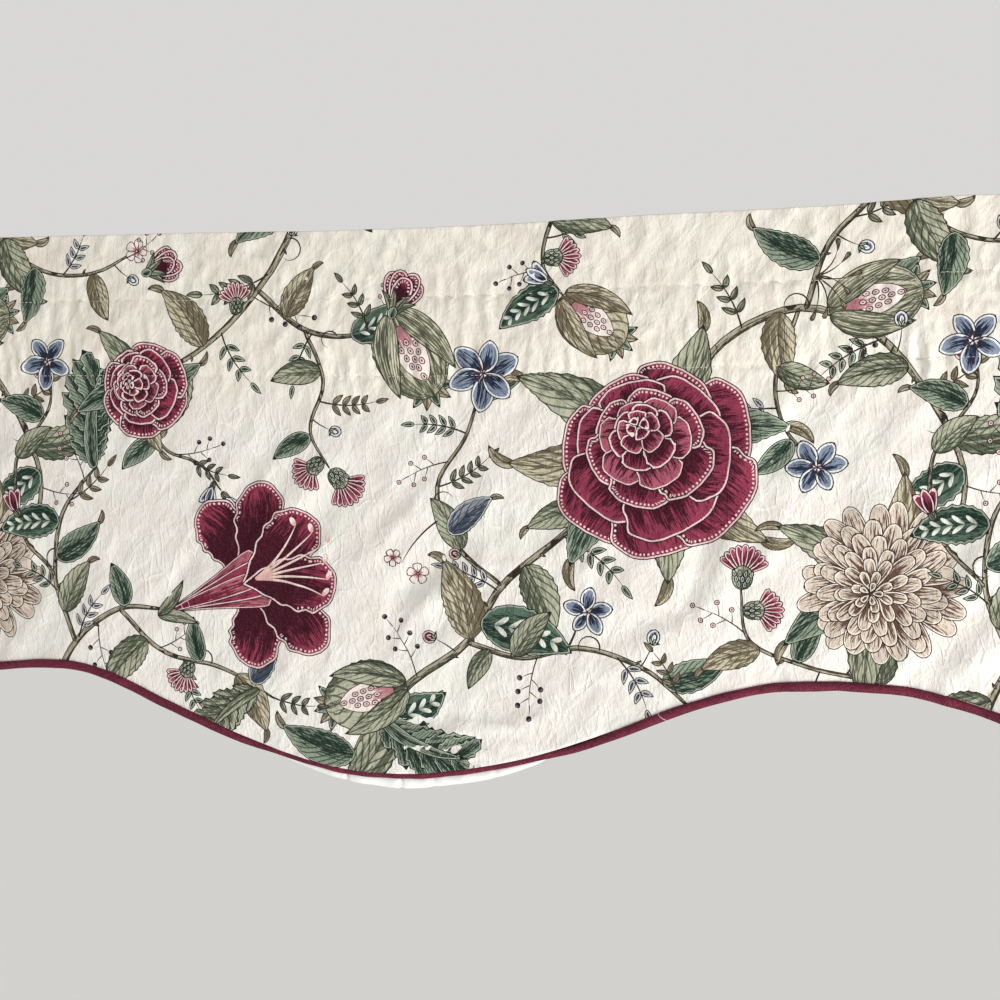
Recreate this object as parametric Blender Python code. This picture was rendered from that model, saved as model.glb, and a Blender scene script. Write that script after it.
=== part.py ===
"""A flat window valance with a scalloped lower edge, hanging from its top edge.

One printed cloth is turned over at the top and stitched down in two rows, which leaves a
header above and an open pocket for a flat curtain rod below it. A covered cord is sewn along
the wavy lower edge, and a plain lining hangs behind, caught under the turned-down cloth.

Metres, +Z up, +X along the width, the printed side towards -Y. The origin is the middle of
the top edge, which is where the valance is held.
"""

from collections import namedtuple
from math import cos, exp, hypot, pi, sin

import bmesh
import bpy

# Sizes
WIDTH = 1.320             # from side seam to side seam
HEADER = 0.0515           # top edge to the upper row of stitching
POCKET = 0.0575           # upper row to the lower row of stitching
HEM = 0.006               # cloth turned down past the lower row
CLOTH = 0.0012            # one layer of the face cloth
LINING_CLOTH = 0.0010     # the lining
WELT_RADIUS = 0.0033      # the covered cord
GAP = 0.0003              # clearance between pieces that lie on each other
LINING_GAP = 0.0005       # the lining's clearance behind the face
POCKET_SWELL = 0.0025     # how far the pocket's front stands forward
POCKET_OPEN = 0.0140      # how far the pocket's back stands off
POCKET_FULLNESS = 0.7     # under 1 makes the pocket's section squarer
SAG_FADE = 0.22           # height below the pocket over which the sag dies away
HANG_GROWTH = 0.25        # height below the pocket over which the swings grow
GATHER_REACH = 0.035      # how far above and below the pocket's middle the gathers reach

# Divisions of the meshes
COLUMNS = 72
HEADER_STEPS = (0.0, 0.03, 0.35, 0.68, 1.0)
POCKET_STEPS = 6
DROP_STEPS = 13
WELT_SIDES = 10
SHARP_ANGLE = 0.7         # radians: edges bent more than this are shaded sharp

# The lower edge of the cloth, the same on both sides of the middle
EdgeRow = namedtuple("EdgeRow", "from_middle drop")
LOWER_EDGE = [
    EdgeRow(0.000, 0.3273),
    EdgeRow(0.050, 0.3305),
    EdgeRow(0.105, 0.3455),
    EdgeRow(0.161, 0.3683),
    EdgeRow(0.219, 0.3886),
    EdgeRow(0.279, 0.4012),
    EdgeRow(0.325, 0.4044),
    EdgeRow(0.371, 0.3995),
    EdgeRow(0.434, 0.3810),
    EdgeRow(0.500, 0.3537),
    EdgeRow(0.545, 0.3340),
    EdgeRow(0.585, 0.3262),
    EdgeRow(0.660, 0.3310),
]

# How the top of the cloth sags between the places where it is held
SagRow = namedtuple("SagRow", "x lift")
TOP_SAG = [
    SagRow(-0.660, 0.0040),
    SagRow(-0.560, 0.0025),
    SagRow(-0.470, 0.0005),
    SagRow(-0.350, -0.0025),
    SagRow(-0.240, -0.0030),
    SagRow(-0.145, -0.0012),
    SagRow(0.000, 0.0000),
    SagRow(0.080, 0.0026),
    SagRow(0.180, 0.0006),
    SagRow(0.300, -0.0022),
    SagRow(0.420, -0.0028),
    SagRow(0.540, 0.0008),
    SagRow(0.660, 0.0030),
]

# Soft folds, each along a line: a depth over zero is a trough, under zero a ridge
Fold = namedtuple("Fold", "x1 z1 x2 z2 width depth")
FOLDS = [
    Fold(-0.375, -0.150, -0.505, -0.290, 0.018, 0.0030),
    Fold(-0.345, -0.195, -0.455, -0.300, 0.020, -0.0022),
    Fold(-0.233, -0.235, -0.345, -0.292, 0.016, 0.0026),
    Fold(-0.255, -0.200, -0.330, -0.265, 0.017, -0.0020),
    Fold(-0.170, -0.190, -0.230, -0.260, 0.018, 0.0024),
    Fold(-0.020, -0.125, -0.120, -0.245, 0.022, -0.0032),
    Fold(-0.050, -0.130, -0.095, -0.195, 0.016, 0.0024),
    Fold(-0.030, -0.185, -0.090, -0.280, 0.020, 0.0030),
    Fold(0.105, -0.215, 0.060, -0.255, 0.020, 0.0026),
    Fold(-0.620, -0.190, -0.605, -0.260, 0.022, 0.0030),
    Fold(-0.560, -0.130, -0.520, -0.200, 0.020, 0.0020),
    Fold(-0.350, -0.372, -0.135, -0.345, 0.012, 0.0022),
    Fold(-0.310, -0.352, -0.160, -0.328, 0.013, -0.0016),
    Fold(0.190, -0.150, 0.120, -0.300, 0.022, -0.0028),
    Fold(0.255, -0.170, 0.190, -0.310, 0.020, 0.0030),
    Fold(0.330, -0.140, 0.420, -0.270, 0.022, 0.0026),
    Fold(0.370, -0.130, 0.470, -0.250, 0.020, -0.0024),
    Fold(0.300, -0.375, 0.430, -0.350, 0.014, 0.0022),
    Fold(0.500, -0.140, 0.560, -0.280, 0.022, 0.0030),
    Fold(0.620, -0.170, 0.600, -0.290, 0.020, -0.0024),
]

# Slow swings of the hanging cloth, and the soft gathers over the rod pocket
Wave = namedtuple("Wave", "length depth start")
SWINGS = [Wave(0.41, 0.0026, 0.7), Wave(0.23, 0.0014, 2.1)]
GATHERS = [Wave(0.087, 0.0005, 0.4), Wave(0.121, 0.0005, 1.9)]

# How far the lining shows below the covered cord, at the left lobe
PeekRow = namedtuple("PeekRow", "x below")
PEEK = [
    PeekRow(-0.440, -0.0010),
    PeekRow(-0.423, 0.0000),
    PeekRow(-0.380, 0.0036),
    PeekRow(-0.345, 0.0056),
    PeekRow(-0.313, 0.0074),
    PeekRow(-0.280, 0.0066),
    PeekRow(-0.245, 0.0060),
    PeekRow(-0.215, 0.0030),
    PeekRow(-0.194, 0.0000),
    PeekRow(-0.178, -0.0010),
]
PEEK_START, PEEK_END = PEEK[0].x, PEEK[-1].x
TUCK_RUN = 0.035          # length over which the layers part before the lining shows
TUCK_LIFT = 0.0022        # how far the cloth's edge then laps over the cord
TUCK_BACK = 0.0041        # how far the cord lies back to leave room for that
LINING_BEND = 0.70        # share of the lining's drop above which it lies on the face
LINING_BEND_RUN = 0.22    # share over which it then draws back behind the cord

CREAM = (0.76, 0.72, 0.65)
BURGUNDY = (0.17, 0.018, 0.045)
WHITE = (0.83, 0.82, 0.80)


def ease(t):
    """0 to 1 with soft ends."""
    t = min(max(t, 0.0), 1.0)
    return t * t * (3.0 - 2.0 * t)


def smooth_table(rows, x):
    """A smooth curve through the rows of a two-column table."""
    x = min(max(x, rows[0][0]), rows[-1][0])
    k = max(i for i in range(len(rows) - 1) if rows[i][0] <= x)

    def slope(i):
        low, high = max(i - 1, 0), min(i + 1, len(rows) - 1)
        return (rows[high][1] - rows[low][1]) / (rows[high][0] - rows[low][0])

    (x0, y0), (x1, y1) = rows[k], rows[k + 1]
    span = x1 - x0
    t = (x - x0) / span
    rise = y1 - y0
    curve_in = slope(k) * span - rise
    curve_out = rise - slope(k + 1) * span
    return y0 + rise * t + t * (1 - t) * (curve_in * (1 - t) + curve_out * t)


def edge_height(x):
    """Height of the face cloth's lower edge."""
    return -smooth_table(LOWER_EDGE, abs(x))


def sag(x, z):
    """Lift of the held top of the cloth, dying away below the pocket."""
    fade = ease(1.0 + (z + HEADER + POCKET) / SAG_FADE)
    return smooth_table(TOP_SAG, x) * fade


def fold_depth(fold, x, z):
    """Depth of one soft fold at a point: a bell across its line, round at its ends."""
    along_x, along_z = fold.x2 - fold.x1, fold.z2 - fold.z1
    length = hypot(along_x, along_z)
    t = ((x - fold.x1) * along_x + (z - fold.z1) * along_z) / length ** 2
    t = min(max(t, 0.0), 1.0)
    away = hypot(x - fold.x1 - t * along_x, z - fold.z1 - t * along_z)
    return fold.depth * exp(-(away / fold.width) ** 2)


def waves(table, x):
    """A few long waves along the width, added up."""
    return sum(w.depth * sin(2 * pi * x / w.length + w.start) for w in table)


def relief(x, z):
    """How far the cloth stands back from a flat plane at a point."""
    hang = ease((-z - HEADER - POCKET) / HANG_GROWTH)
    over_pocket = exp(-((z + HEADER + 0.5 * POCKET) / GATHER_REACH) ** 2)
    folds = sum(fold_depth(fold, x, z) for fold in FOLDS)
    return folds + hang * waves(SWINGS, x) + over_pocket * waves(GATHERS, x)


def place(x, y, z):
    """Move a point of the flat section onto the hanging, creased cloth."""
    return (x, y + relief(x, z), z + sag(x, z))


def columns():
    """Where the sections are cut, from the left side seam to the right one."""
    return [WIDTH * (i / COLUMNS - 0.5) for i in range(COLUMNS + 1)]


def tuck(x, run=0.0):
    """1 where the cloth's edge laps over the cord, easing to 0 over a run outside it."""
    start = ease((x - PEEK_START + run) / TUCK_RUN)
    end = ease((PEEK_END - x + run) / TUCK_RUN)
    return start * end


def cord_centre(x):
    """Depth and height of the covered cord's middle at x, and its stretch up a slope."""
    step = 0.5 * WIDTH / COLUMNS
    slope = (edge_height(x + step) - edge_height(x - step)) / (2 * step)
    stretch = hypot(1.0, slope)
    depth = -0.5 * CLOTH + TUCK_BACK * tuck(x, TUCK_RUN)
    height = edge_height(x) - (GAP + WELT_RADIUS) * stretch + TUCK_LIFT * tuck(x)
    return depth, height, stretch


def add_quad(bm, a, b, b_next, a_next):
    """Two triangles, split from the lower near corner so that layers lie alike."""
    if a.co.z < b.co.z:
        bm.faces.new((a, b, b_next))
        bm.faces.new((a, b_next, a_next))
    else:
        bm.faces.new((a, b, a_next))
        bm.faces.new((b, b_next, a_next))


def loft(name, sections, loops, cells, material):
    """Skin a closed solid: loops run from section to section, cells close both ends."""
    bm = bmesh.new()
    rings = [[bm.verts.new(point) for point in section] for section in sections]
    for here, there in zip(rings, rings[1:]):
        for loop in loops:
            for a, b in zip(loop, loop[1:] + loop[:1]):
                add_quad(bm, here[a], here[b], there[b], there[a])
    for ring in (rings[0], rings[-1]):
        for cell in cells:
            bm.faces.new([ring[i] for i in cell])
    bmesh.ops.recalc_face_normals(bm, faces=bm.faces[:])
    mesh = bpy.data.meshes.new(name)
    bm.to_mesh(mesh)
    bm.free()
    mesh.shade_smooth()
    mesh.set_sharp_from_angle(angle=SHARP_ANGLE)
    mesh.materials.append(material)
    piece = bpy.data.objects.new(name, mesh)
    bpy.context.collection.objects.link(piece)
    return piece


def fabric(name, colour, roughness):
    """A plain cloth material."""
    material = bpy.data.materials.new(name)
    material.use_nodes = True
    shader = material.node_tree.nodes["Principled BSDF"]
    shader.inputs["Base Color"].default_value = (*colour, 1.0)
    shader.inputs["Roughness"].default_value = roughness
    shader.inputs["Metallic"].default_value = 0.0
    return material


def pocket_rows():
    """Height and openness of the rows between the two rows of stitching."""
    rows = []
    for i in range(1, POCKET_STEPS):
        t = i / POCKET_STEPS
        rows.append((-HEADER - POCKET * t, sin(pi * t) ** POCKET_FULLNESS))
    return rows


def cloth_section(x):
    """The face cloth cut at x: down the front, up the inside, over the back to the top."""
    upper, lower = -HEADER, -HEADER - POCKET
    hem = lower - HEM
    header = [(-HEADER * t, 0.5 * CLOTH if t == 0 else CLOTH) for t in HEADER_STEPS]
    pocket = pocket_rows()
    drop = [hem + (edge_height(x) - hem) * i / DROP_STEPS for i in range(1, DROP_STEPS + 1)]
    front = [(-thick, z) for z, thick in header]
    front += [(-CLOTH - POCKET_SWELL * full, z) for z, full in pocket]
    front += [(-CLOTH, lower), (-CLOTH, hem)] + [(-CLOTH, z) for z in drop]
    inside = [(0.0, z) for z in reversed(drop)] + [(0.0, hem)]
    back = [(CLOTH, hem), (CLOTH, lower)]
    back += [(CLOTH + POCKET_OPEN * full, z) for z, full in reversed(pocket)]
    back += [(thick, z) for z, thick in reversed(header)]
    channel = [(0.0, upper)] + [(-POCKET_SWELL * full, z) for z, full in pocket]
    channel += [(0.0, lower)] + [(POCKET_OPEN * full, z) for z, full in reversed(pocket)]
    return [place(x, y, z) for y, z in front + inside + back + channel]


def cloth_indices():
    """Index lists of the section's four runs, in the order cloth_section makes them."""
    runs = []
    first = 0
    header, pocket = len(HEADER_STEPS), POCKET_STEPS - 1
    for count in (header + pocket + 2 + DROP_STEPS, DROP_STEPS + 1, header + pocket + 2,
                  2 * pocket + 2):
        runs.append(list(range(first, first + count)))
        first += count
    return runs


def cloth_cells(front, inside, back, channel):
    """Cells that close the cloth's section: header, pocket walls, hem and single cloth."""
    header, pocket = len(HEADER_STEPS), POCKET_STEPS - 1
    rear = back[::-1]
    upper_join, lower_join = channel[0], channel[pocket + 1]
    front_wall = [upper_join] + channel[1:pocket + 1] + [lower_join]
    rear_wall = [upper_join] + channel[:pocket + 1:-1] + [lower_join]
    cells = [(front[i], front[i + 1], rear[i + 1], rear[i]) for i in range(header - 2)]
    top = header - 1
    cells.append((front[top - 1], front[top], upper_join, rear[top], rear[top - 1]))
    for i in range(pocket + 1):
        cells.append((front[top + i], front[top + i + 1], front_wall[i + 1], front_wall[i]))
        cells.append((rear_wall[i], rear_wall[i + 1], rear[top + i + 1], rear[top + i]))
    low = top + pocket + 1
    single = inside[::-1]
    cells.append((front[low], front[low + 1], single[0], rear[low + 1], rear[low], lower_join))
    for i in range(DROP_STEPS):
        cells.append((front[low + 1 + i], front[low + 2 + i], single[i + 1], single[i]))
    return cells


def make_face_cloth():
    """The printed cloth with its header, rod pocket and hem, as one solid."""
    front, inside, back, channel = cloth_indices()
    sections = [cloth_section(x) for x in columns()]
    cells = cloth_cells(front, inside, back, channel)
    loops = [front + inside + back, channel]
    return loft("face_cloth", sections, loops, cells, fabric("face_cloth", CREAM, 0.85))


def lining_bottom(x):
    """Height of the lining's lower edge: at the cord, or below it where the lining shows."""
    if not PEEK_START < x < PEEK_END:
        return edge_height(x)
    _, middle, stretch = cord_centre(x)
    shown = middle - WELT_RADIUS * stretch - smooth_table(PEEK, x)
    start = ease((x - PEEK_START) / TUCK_RUN)
    end = ease((PEEK_END - x) / TUCK_RUN)
    return edge_height(x) + (shown - edge_height(x)) * start * end


def lining_section(x):
    """The lining cut at x: down its front and up its back, set back behind the cord."""
    top = -HEADER - POCKET - HEM - GAP
    edge = edge_height(x)
    behind = TUCK_BACK + WELT_RADIUS - 0.5 * CLOTH + GAP
    front, back = [], []
    for i in range(DROP_STEPS + 1):
        t = i / DROP_STEPS
        z = top + (edge - top) * t
        bend = ease((t - LINING_BEND) / LINING_BEND_RUN)
        set_back = (behind - LINING_GAP) * bend * tuck(x, 2 * TUCK_RUN)
        y = LINING_GAP + set_back + relief(x, z)
        if i == DROP_STEPS:
            z = lining_bottom(x)
        z += sag(x, z)
        front.append((x, y, z))
        back.append((x, y + LINING_CLOTH, z))
    return front + back[::-1]


def make_lining():
    """The plain sheet behind the face, from the turned-down cloth to the cord."""
    rows = DROP_STEPS + 1
    last = 2 * rows - 1
    sections = [lining_section(x) for x in columns()]
    cells = [(i, i + 1, last - i - 1, last - i) for i in range(DROP_STEPS)]
    loops = [list(range(2 * rows))]
    return loft("lining", sections, loops, cells, fabric("lining", WHITE, 0.9))


def piping_section(x):
    """The covered cord cut at x, taller where the edge slopes, as a slanted tube is."""
    depth, height, stretch = cord_centre(x)
    depth += relief(x, edge_height(x))
    ring = []
    for i in range(WELT_SIDES):
        turn = 2 * pi * (i + 0.5) / WELT_SIDES
        y = depth + WELT_RADIUS * cos(turn)
        z = height + WELT_RADIUS * stretch * sin(turn)
        ring.append((x, y, z))
    return ring


def make_piping():
    """The covered cord along the whole lower edge."""
    sections = [piping_section(x) for x in columns()]
    ring = list(range(WELT_SIDES))
    return loft("piping", sections, [ring], [ring], fabric("piping", BURGUNDY, 0.7))


for old in list(bpy.data.objects):
    bpy.data.objects.remove(old, do_unlink=True)
make_face_cloth()
make_lining()
make_piping()
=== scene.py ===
from collections import namedtuple
from math import pi, radians

import bpy
import numpy as np
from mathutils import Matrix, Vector, kdtree
from mathutils.geometry import delaunay_2d_cdt


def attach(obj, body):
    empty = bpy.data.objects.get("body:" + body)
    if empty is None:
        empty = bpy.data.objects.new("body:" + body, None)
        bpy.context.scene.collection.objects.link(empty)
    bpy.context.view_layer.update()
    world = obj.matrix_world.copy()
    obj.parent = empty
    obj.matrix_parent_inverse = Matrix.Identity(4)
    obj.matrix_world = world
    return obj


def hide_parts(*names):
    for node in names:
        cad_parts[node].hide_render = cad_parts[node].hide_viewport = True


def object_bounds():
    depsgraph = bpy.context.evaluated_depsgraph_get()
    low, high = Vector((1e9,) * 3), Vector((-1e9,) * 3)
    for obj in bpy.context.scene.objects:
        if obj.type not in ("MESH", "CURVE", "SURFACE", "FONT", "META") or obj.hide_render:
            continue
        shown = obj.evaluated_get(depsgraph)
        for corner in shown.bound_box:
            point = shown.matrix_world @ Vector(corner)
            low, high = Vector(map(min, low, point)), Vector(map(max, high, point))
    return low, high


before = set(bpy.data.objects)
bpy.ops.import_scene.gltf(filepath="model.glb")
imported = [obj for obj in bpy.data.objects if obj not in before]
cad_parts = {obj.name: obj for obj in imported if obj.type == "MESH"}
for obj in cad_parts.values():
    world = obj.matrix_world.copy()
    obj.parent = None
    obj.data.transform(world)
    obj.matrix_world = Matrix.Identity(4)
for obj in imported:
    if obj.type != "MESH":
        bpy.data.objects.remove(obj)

cad_low, cad_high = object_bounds()

# ---- The face cloth, as it hangs -----------------------------------------------------
# One panel of crinkled printed cotton. Its top is turned over to the back and stitched down
# in two rows, which make the header and the rod pocket. Metres, with the printed side
# towards -Y; a place on the flat cloth is (along, up), and up is over 0 past the top fold.
WIDTH = cad_high.x - cad_low.x
HEADER = 0.0515           # top edge to the upper row of stitching
POCKET = 0.0575           # upper row to the lower row, down the front
POCKET_BACK = 0.0665      # the same round the open back of the pocket
HEM = 0.0058              # turned-down cloth past the lower row
STRIP = HEADER + POCKET_BACK + HEM
CLOTH = 0.0012            # how far each printed side stands from the middle of the header
THICKNESS = 0.0009
POCKET_SWELL = 0.0018     # how far the pocket's front bulges
POCKET_OPEN = 0.0140      # and its back
POCKET_FULLNESS = 0.7     # 1 for a round pocket, less for a boxy one
SAG_FADE = 0.22           # below the pocket, over this height: the top's sag dies away,
HANG_GROWTH = 0.25        # and the swings of the free cloth grow
GATHER_REACH = 0.035      # how far gathers run from the pocket's middle

# The lower edge: distance from the middle, and drop from the top.
LOWER_EDGE = [(0.000, 0.3273), (0.050, 0.3305), (0.105, 0.3455), (0.161, 0.3683), (0.219, 0.3886),
              (0.279, 0.4012), (0.325, 0.4044), (0.371, 0.3995), (0.434, 0.3810), (0.500, 0.3537),
              (0.545, 0.3340), (0.585, 0.3262), (0.660, 0.3310)]
LOWEST = 0.325            # where the edge hangs lowest, from the middle
# The held top: place along it, and lift.
TOP_SAG = [(-0.660, 0.0040), (-0.560, 0.0025), (-0.470, 0.0005), (-0.350, -0.0025),
           (-0.240, -0.0030), (-0.145, -0.0012), (0.000, 0.0000), (0.080, 0.0026), (0.180, 0.0006),
           (0.300, -0.0022), (0.420, -0.0028), (0.540, 0.0008), (0.660, 0.0030)]
Fold = namedtuple("Fold", "width depth path")   # millimetres; depth is away from the viewer
FOLDS = [Fold(width, depth, path) for width, depth, *path in (
    (10, -3.6, (-350, -143), (-371, -169), (-399, -203), (-427, -236), (-448, -267), (-467, -295)),
    (7, -1.9, (-442, -162), (-453, -191), (-467, -212), (-488, -227)),
    (7, 2.8, (-471, -237), (-489, -264), (-506, -290)),
    (8, 1.9, (-352, -188), (-374, -214), (-396, -244)),
    (10, -2.8, (-292, -197), (-317, -221), (-340, -247), (-359, -269)),
    (8, 3.3, (-250, -222), (-279, -243), (-304, -265), (-330, -282)),
    (8, -3.3, (-234, -240), (-264, -259), (-290, -276), (-315, -294)),
    (8, -2.8, (-647, -187), (-614, -165), (-585, -153)),
    (8, -2.4, (-611, -212), (-616, -250), (-627, -298)),
    (9, -2.9, (-30, -116), (-41, -144), (-53, -161), (-63, -176), (-82, -194)),
    (8, 1.7, (-24, -134), (-33, -158), (-46, -178), (-58, -197)),
    (5, -1.4, (-49, -130), (-60, -152)),
    (8, 3.8, (-80, -203), (-90, -234), (-96, -259), (-105, -276), (-126, -287), (-163, -298)),
    (10, -1.7, (-68, -213), (-75, -244), (-84, -272), (-103, -295)),
    (8, -2.8, (-31, -193), (-36, -220), (-46, -241), (-65, -264)),
    (10, 3.0, (9, -186), (1, -209), (-10, -234)),
    (9, -1.9, (33, -192), (24, -222)),
    (8, -2.8, (-174, -203), (-185, -228), (-200, -248)),
    (8, 1.2, (-195, -195), (-208, -224), (-220, -243)),
    (5, -1.4, (-161, -180), (-174, -198)),
    (5, -2.8, (-344, -382), (-275, -373), (-230, -366), (-185, -353)),
    (5, 1.7, (-340, -369), (-275, -361), (-230, -353)),
    (4, -1.9, (-359, -399), (-290, -393), (-234, -385)),
    (4, -1.4, (-275, -389), (-205, -378)),
    (6, -1.7, (-408, -326), (-369, -345)),
    (8, -2.4, (106, -213), (95, -235), (83, -270), (75, -293)),
    (8, 1.7, (90, -188), (82, -211), (72, -231)),
    (6, -1.4, (-283, -181), (-302, -206), (-312, -225)),
    (5, -1.4, (-416, -169), (-421, -195)),
    (8, -1.7, (-538, -249), (-559, -280), (-568, -308)),
    (8, -1.4, (-129, -301), (-158, -322), (-194, -339)),
    (9, -1.9, (-260, -290), (-290, -316), (-316, -342)),
    (9, -1.7, (-367, -292), (-399, -319), (-421, -353)),
    (8, -1.4, (-136, -128), (-156, -153), (-172, -168)),
    (8, -1.4, (-238, -181), (-254, -210)),
    (9, -1.7, (-563, -83), (-580, -117), (-587, -140)),
    (6, -1.2, (-500, -115), (-512, -145)),
    (8, -1.7, (67, -121), (44, -155), (34, -179)),
    (9, -3.3, (190, -140), (172, -180), (148, -222), (120, -262)),
    (8, 2.8, (212, -160), (190, -204), (166, -240)),
    (9, -3.0, (276, -170), (254, -214), (222, -256), (196, -286)),
    (8, 2.4, (330, -132), (309, -176), (284, -214)),
    (10, -3.3, (368, -200), (342, -242), (318, -290), (306, -330)),
    (8, 1.9, (392, -170), (372, -210), (350, -236)),
    (9, -3.0, (452, -130), (436, -172), (408, -214), (390, -244)),
    (8, 2.4, (468, -210), (446, -250), (424, -300)),
    (9, -2.8, (536, -150), (522, -196), (498, -240), (486, -280)),
    (8, -2.4, (608, -140), (590, -190), (566, -232)),
    (8, 1.9, (630, -180), (616, -226), (600, -270)),
    (9, -2.4, (648, -230), (632, -270), (624, -300)),
    (5, -2.4, (236, -370), (300, -384), (372, -378), (430, -362)),
    (5, 1.7, (260, -362), (318, -370), (376, -362)),
    (8, -1.7, (120, -290), (96, -312), (60, -322)),
)]
FOLD_END = 1 / 3.5                 # share of a fold's length over which each end dies away
Wave = namedtuple("Wave", "length depth start")
SWINGS = [Wave(0.41, 0.0026, 0.7), Wave(0.23, 0.0014, 2.1)]
GATHERS = [Wave(0.087, 0.0005, 0.4), Wave(0.121, 0.0005, 1.9)]

Rumple = namedtuple("Rumple", "length depth lean spread")
HANGING_RUMPLES = [Rumple(0.066, 0.0010, -36, 16), Rumple(0.034, 0.0005, -28, 30)]
STITCHED_RUMPLES = [Rumple(0.038, 0.0009, -30, 44), Rumple(0.019, 0.0005, -8, 40)]
STITCHED_END = -0.139              # where the stitched top's rumples give way to the lower ones
STITCHED_RUN = 0.055
RUMPLE_WAVES = 10
CREST = 0.22                       # how round the crests are, 0 for sharp

PUCKER_LENGTHS = (0.0075, 0.019)   # shortest and longest pucker along the stitching
PUCKER_DEPTH = 0.00022
PUCKER_REACH = 0.013               # how far puckers run from a row of stitching
PUCKER_WAVES = 14
UPPER_SHARE, POCKET_SHARE = 0.5, 0.40     # puckers at the upper row and between the rows
PINCH = 0.20                       # how much a row of stitching draws the layers together
PINCH_REACH = 0.0016
SEAM_ROUND = 0.0030                # height of the turned-in edge along the covered cord


def ease(t):
    """0 to 1 with soft ends."""
    t = np.clip(t, 0.0, 1.0)
    return t * t * (3.0 - 2.0 * t)


def hump(t):
    """1 at 0, dying away smoothly to both sides."""
    return np.exp(-(t**2))


def smooth_table(rows, x):
    """A smooth curve through the rows of a two-column table."""
    at, value = np.array(rows, float).T
    x = np.clip(x, at[0], at[-1])
    k = np.clip(np.searchsorted(at, x, side="right") - 1, 0, len(at) - 2)
    row = np.arange(len(at))
    low, high = np.maximum(row - 1, 0), np.minimum(row + 1, len(at) - 1)
    slope = (value[high] - value[low]) / (at[high] - at[low])
    span = at[k + 1] - at[k]
    rise = value[k + 1] - value[k]
    t = (x - at[k]) / span
    curve_in = slope[k] * span - rise
    curve_out = rise - slope[k + 1] * span
    return value[k] + rise * t + t * (1 - t) * (curve_in * (1 - t) + curve_out * t)


def edge_height(x):
    """Height of the face cloth's lower edge."""
    return -smooth_table(LOWER_EDGE, np.abs(x))


def waves(table, x):
    """A few long waves along the width, added up."""
    return sum(w.depth * np.sin(2 * pi * x / w.length + w.start) for w in table)


rumple_random = np.random.default_rng(29)


def rumple_waves(rumple):
    """Plane waves of about one length and lean, in degrees from across the cloth."""
    lean = np.radians(rumple_random.normal(rumple.lean, rumple.spread, RUMPLE_WAVES))
    number = 2 * pi / (rumple.length * rumple_random.uniform(0.75, 1.35, RUMPLE_WAVES))
    start = rumple_random.uniform(0, 2 * pi, RUMPLE_WAVES)
    return number * np.cos(lean), number * np.sin(lean), start


hanging, stitched = ([(rumple.depth, rumple_waves(rumple)) for rumple in table]
                     for table in (HANGING_RUMPLES, STITCHED_RUMPLES))


def rumples(x, z, table):
    """Uneven crests and hollows, as in washed cotton that wasn't pressed."""
    total = 0.0
    for depth, waves_of_one in table:
        field = sum(np.sin(a * x + b * z + start) for a, b, start in zip(*waves_of_one))
        total = total + depth * (np.sqrt(2 * field**2 / RUMPLE_WAVES + CREST**2) - 0.9)
    return total


def in_box(places, line, margin=0.0):
    """Which places lie in the upright box round a line of points."""
    return ((places.real > line.real.min() - margin) & (places.real < line.real.max() + margin)
            & (places.imag > line.imag.min() - margin) & (places.imag < line.imag.max() + margin))


def lengths_along(line):
    """Length from a line's start to each of its points."""
    return np.concatenate([[0.0], np.cumsum(np.abs(np.diff(line)))])


def to_line(places, line):
    """For each place: distance to a line of points, length along it, and which side."""
    start, run = line[:-1], np.diff(line)
    size = np.maximum(np.abs(run), 1e-6)
    offset = places[:, None] - start
    t = np.clip((offset * np.conj(run)).real / size**2, 0, 1)
    away = offset - t * run
    near = np.argmin(np.abs(away), axis=1)
    row = np.arange(len(places))
    lengths = np.concatenate([[0.0], np.cumsum(size)])
    side = np.sign((np.conj(run[near]) * offset[row, near]).imag)
    return np.abs(away[row, near]), lengths[near] + t[row, near] * size[near], side


def fold_depth(x, z, folds):
    """Soft ridges and troughs along their paths, dying away at both ends."""
    places = np.atleast_1d(x + 1j * z).ravel() / 0.001
    depth = np.zeros(len(places))
    for fold in folds:
        line = np.array([complex(*point) for point in fold.path])
        near = np.flatnonzero(in_box(places, line, 3 * fold.width))
        away, run, _ = to_line(places[near], line)
        share = run / np.abs(np.diff(line)).sum()
        ends = ease(share / FOLD_END) * ease((1 - share) / FOLD_END)
        depth[near] += fold.depth * ends * hump(away / fold.width)
    return 0.001 * depth.reshape(np.shape(x + z))


def relief(x, z):
    """How far the cloth stands back from a flat plane: rumples, folds, swings and gathers."""
    depth = ease((-z - HEADER - POCKET) / HANG_GROWTH) * waves(SWINGS, x)
    top_share = ease((z - STITCHED_END) / STITCHED_RUN)
    depth = depth + rumples(x, z, hanging) * (1 - top_share) + rumples(x, z, stitched) * top_share
    over_pocket = hump((z + HEADER + 0.5 * POCKET) / GATHER_REACH)
    return depth + over_pocket * waves(GATHERS, x) + fold_depth(x, z, FOLDS)


def sag(x, z):
    """Lift of the held top of the cloth, dying away below the pocket."""
    return smooth_table(TOP_SAG, x) * ease(1.0 + (z + HEADER + POCKET) / SAG_FADE)


pucker_random = np.random.default_rng(11)
pucker_waves = list(zip(2 * pi / np.linspace(*PUCKER_LENGTHS, PUCKER_WAVES),
                        pucker_random.uniform(0, 2 * pi, PUCKER_WAVES),
                        pucker_random.uniform(-0.25, 0.25, PUCKER_WAVES)))


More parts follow.
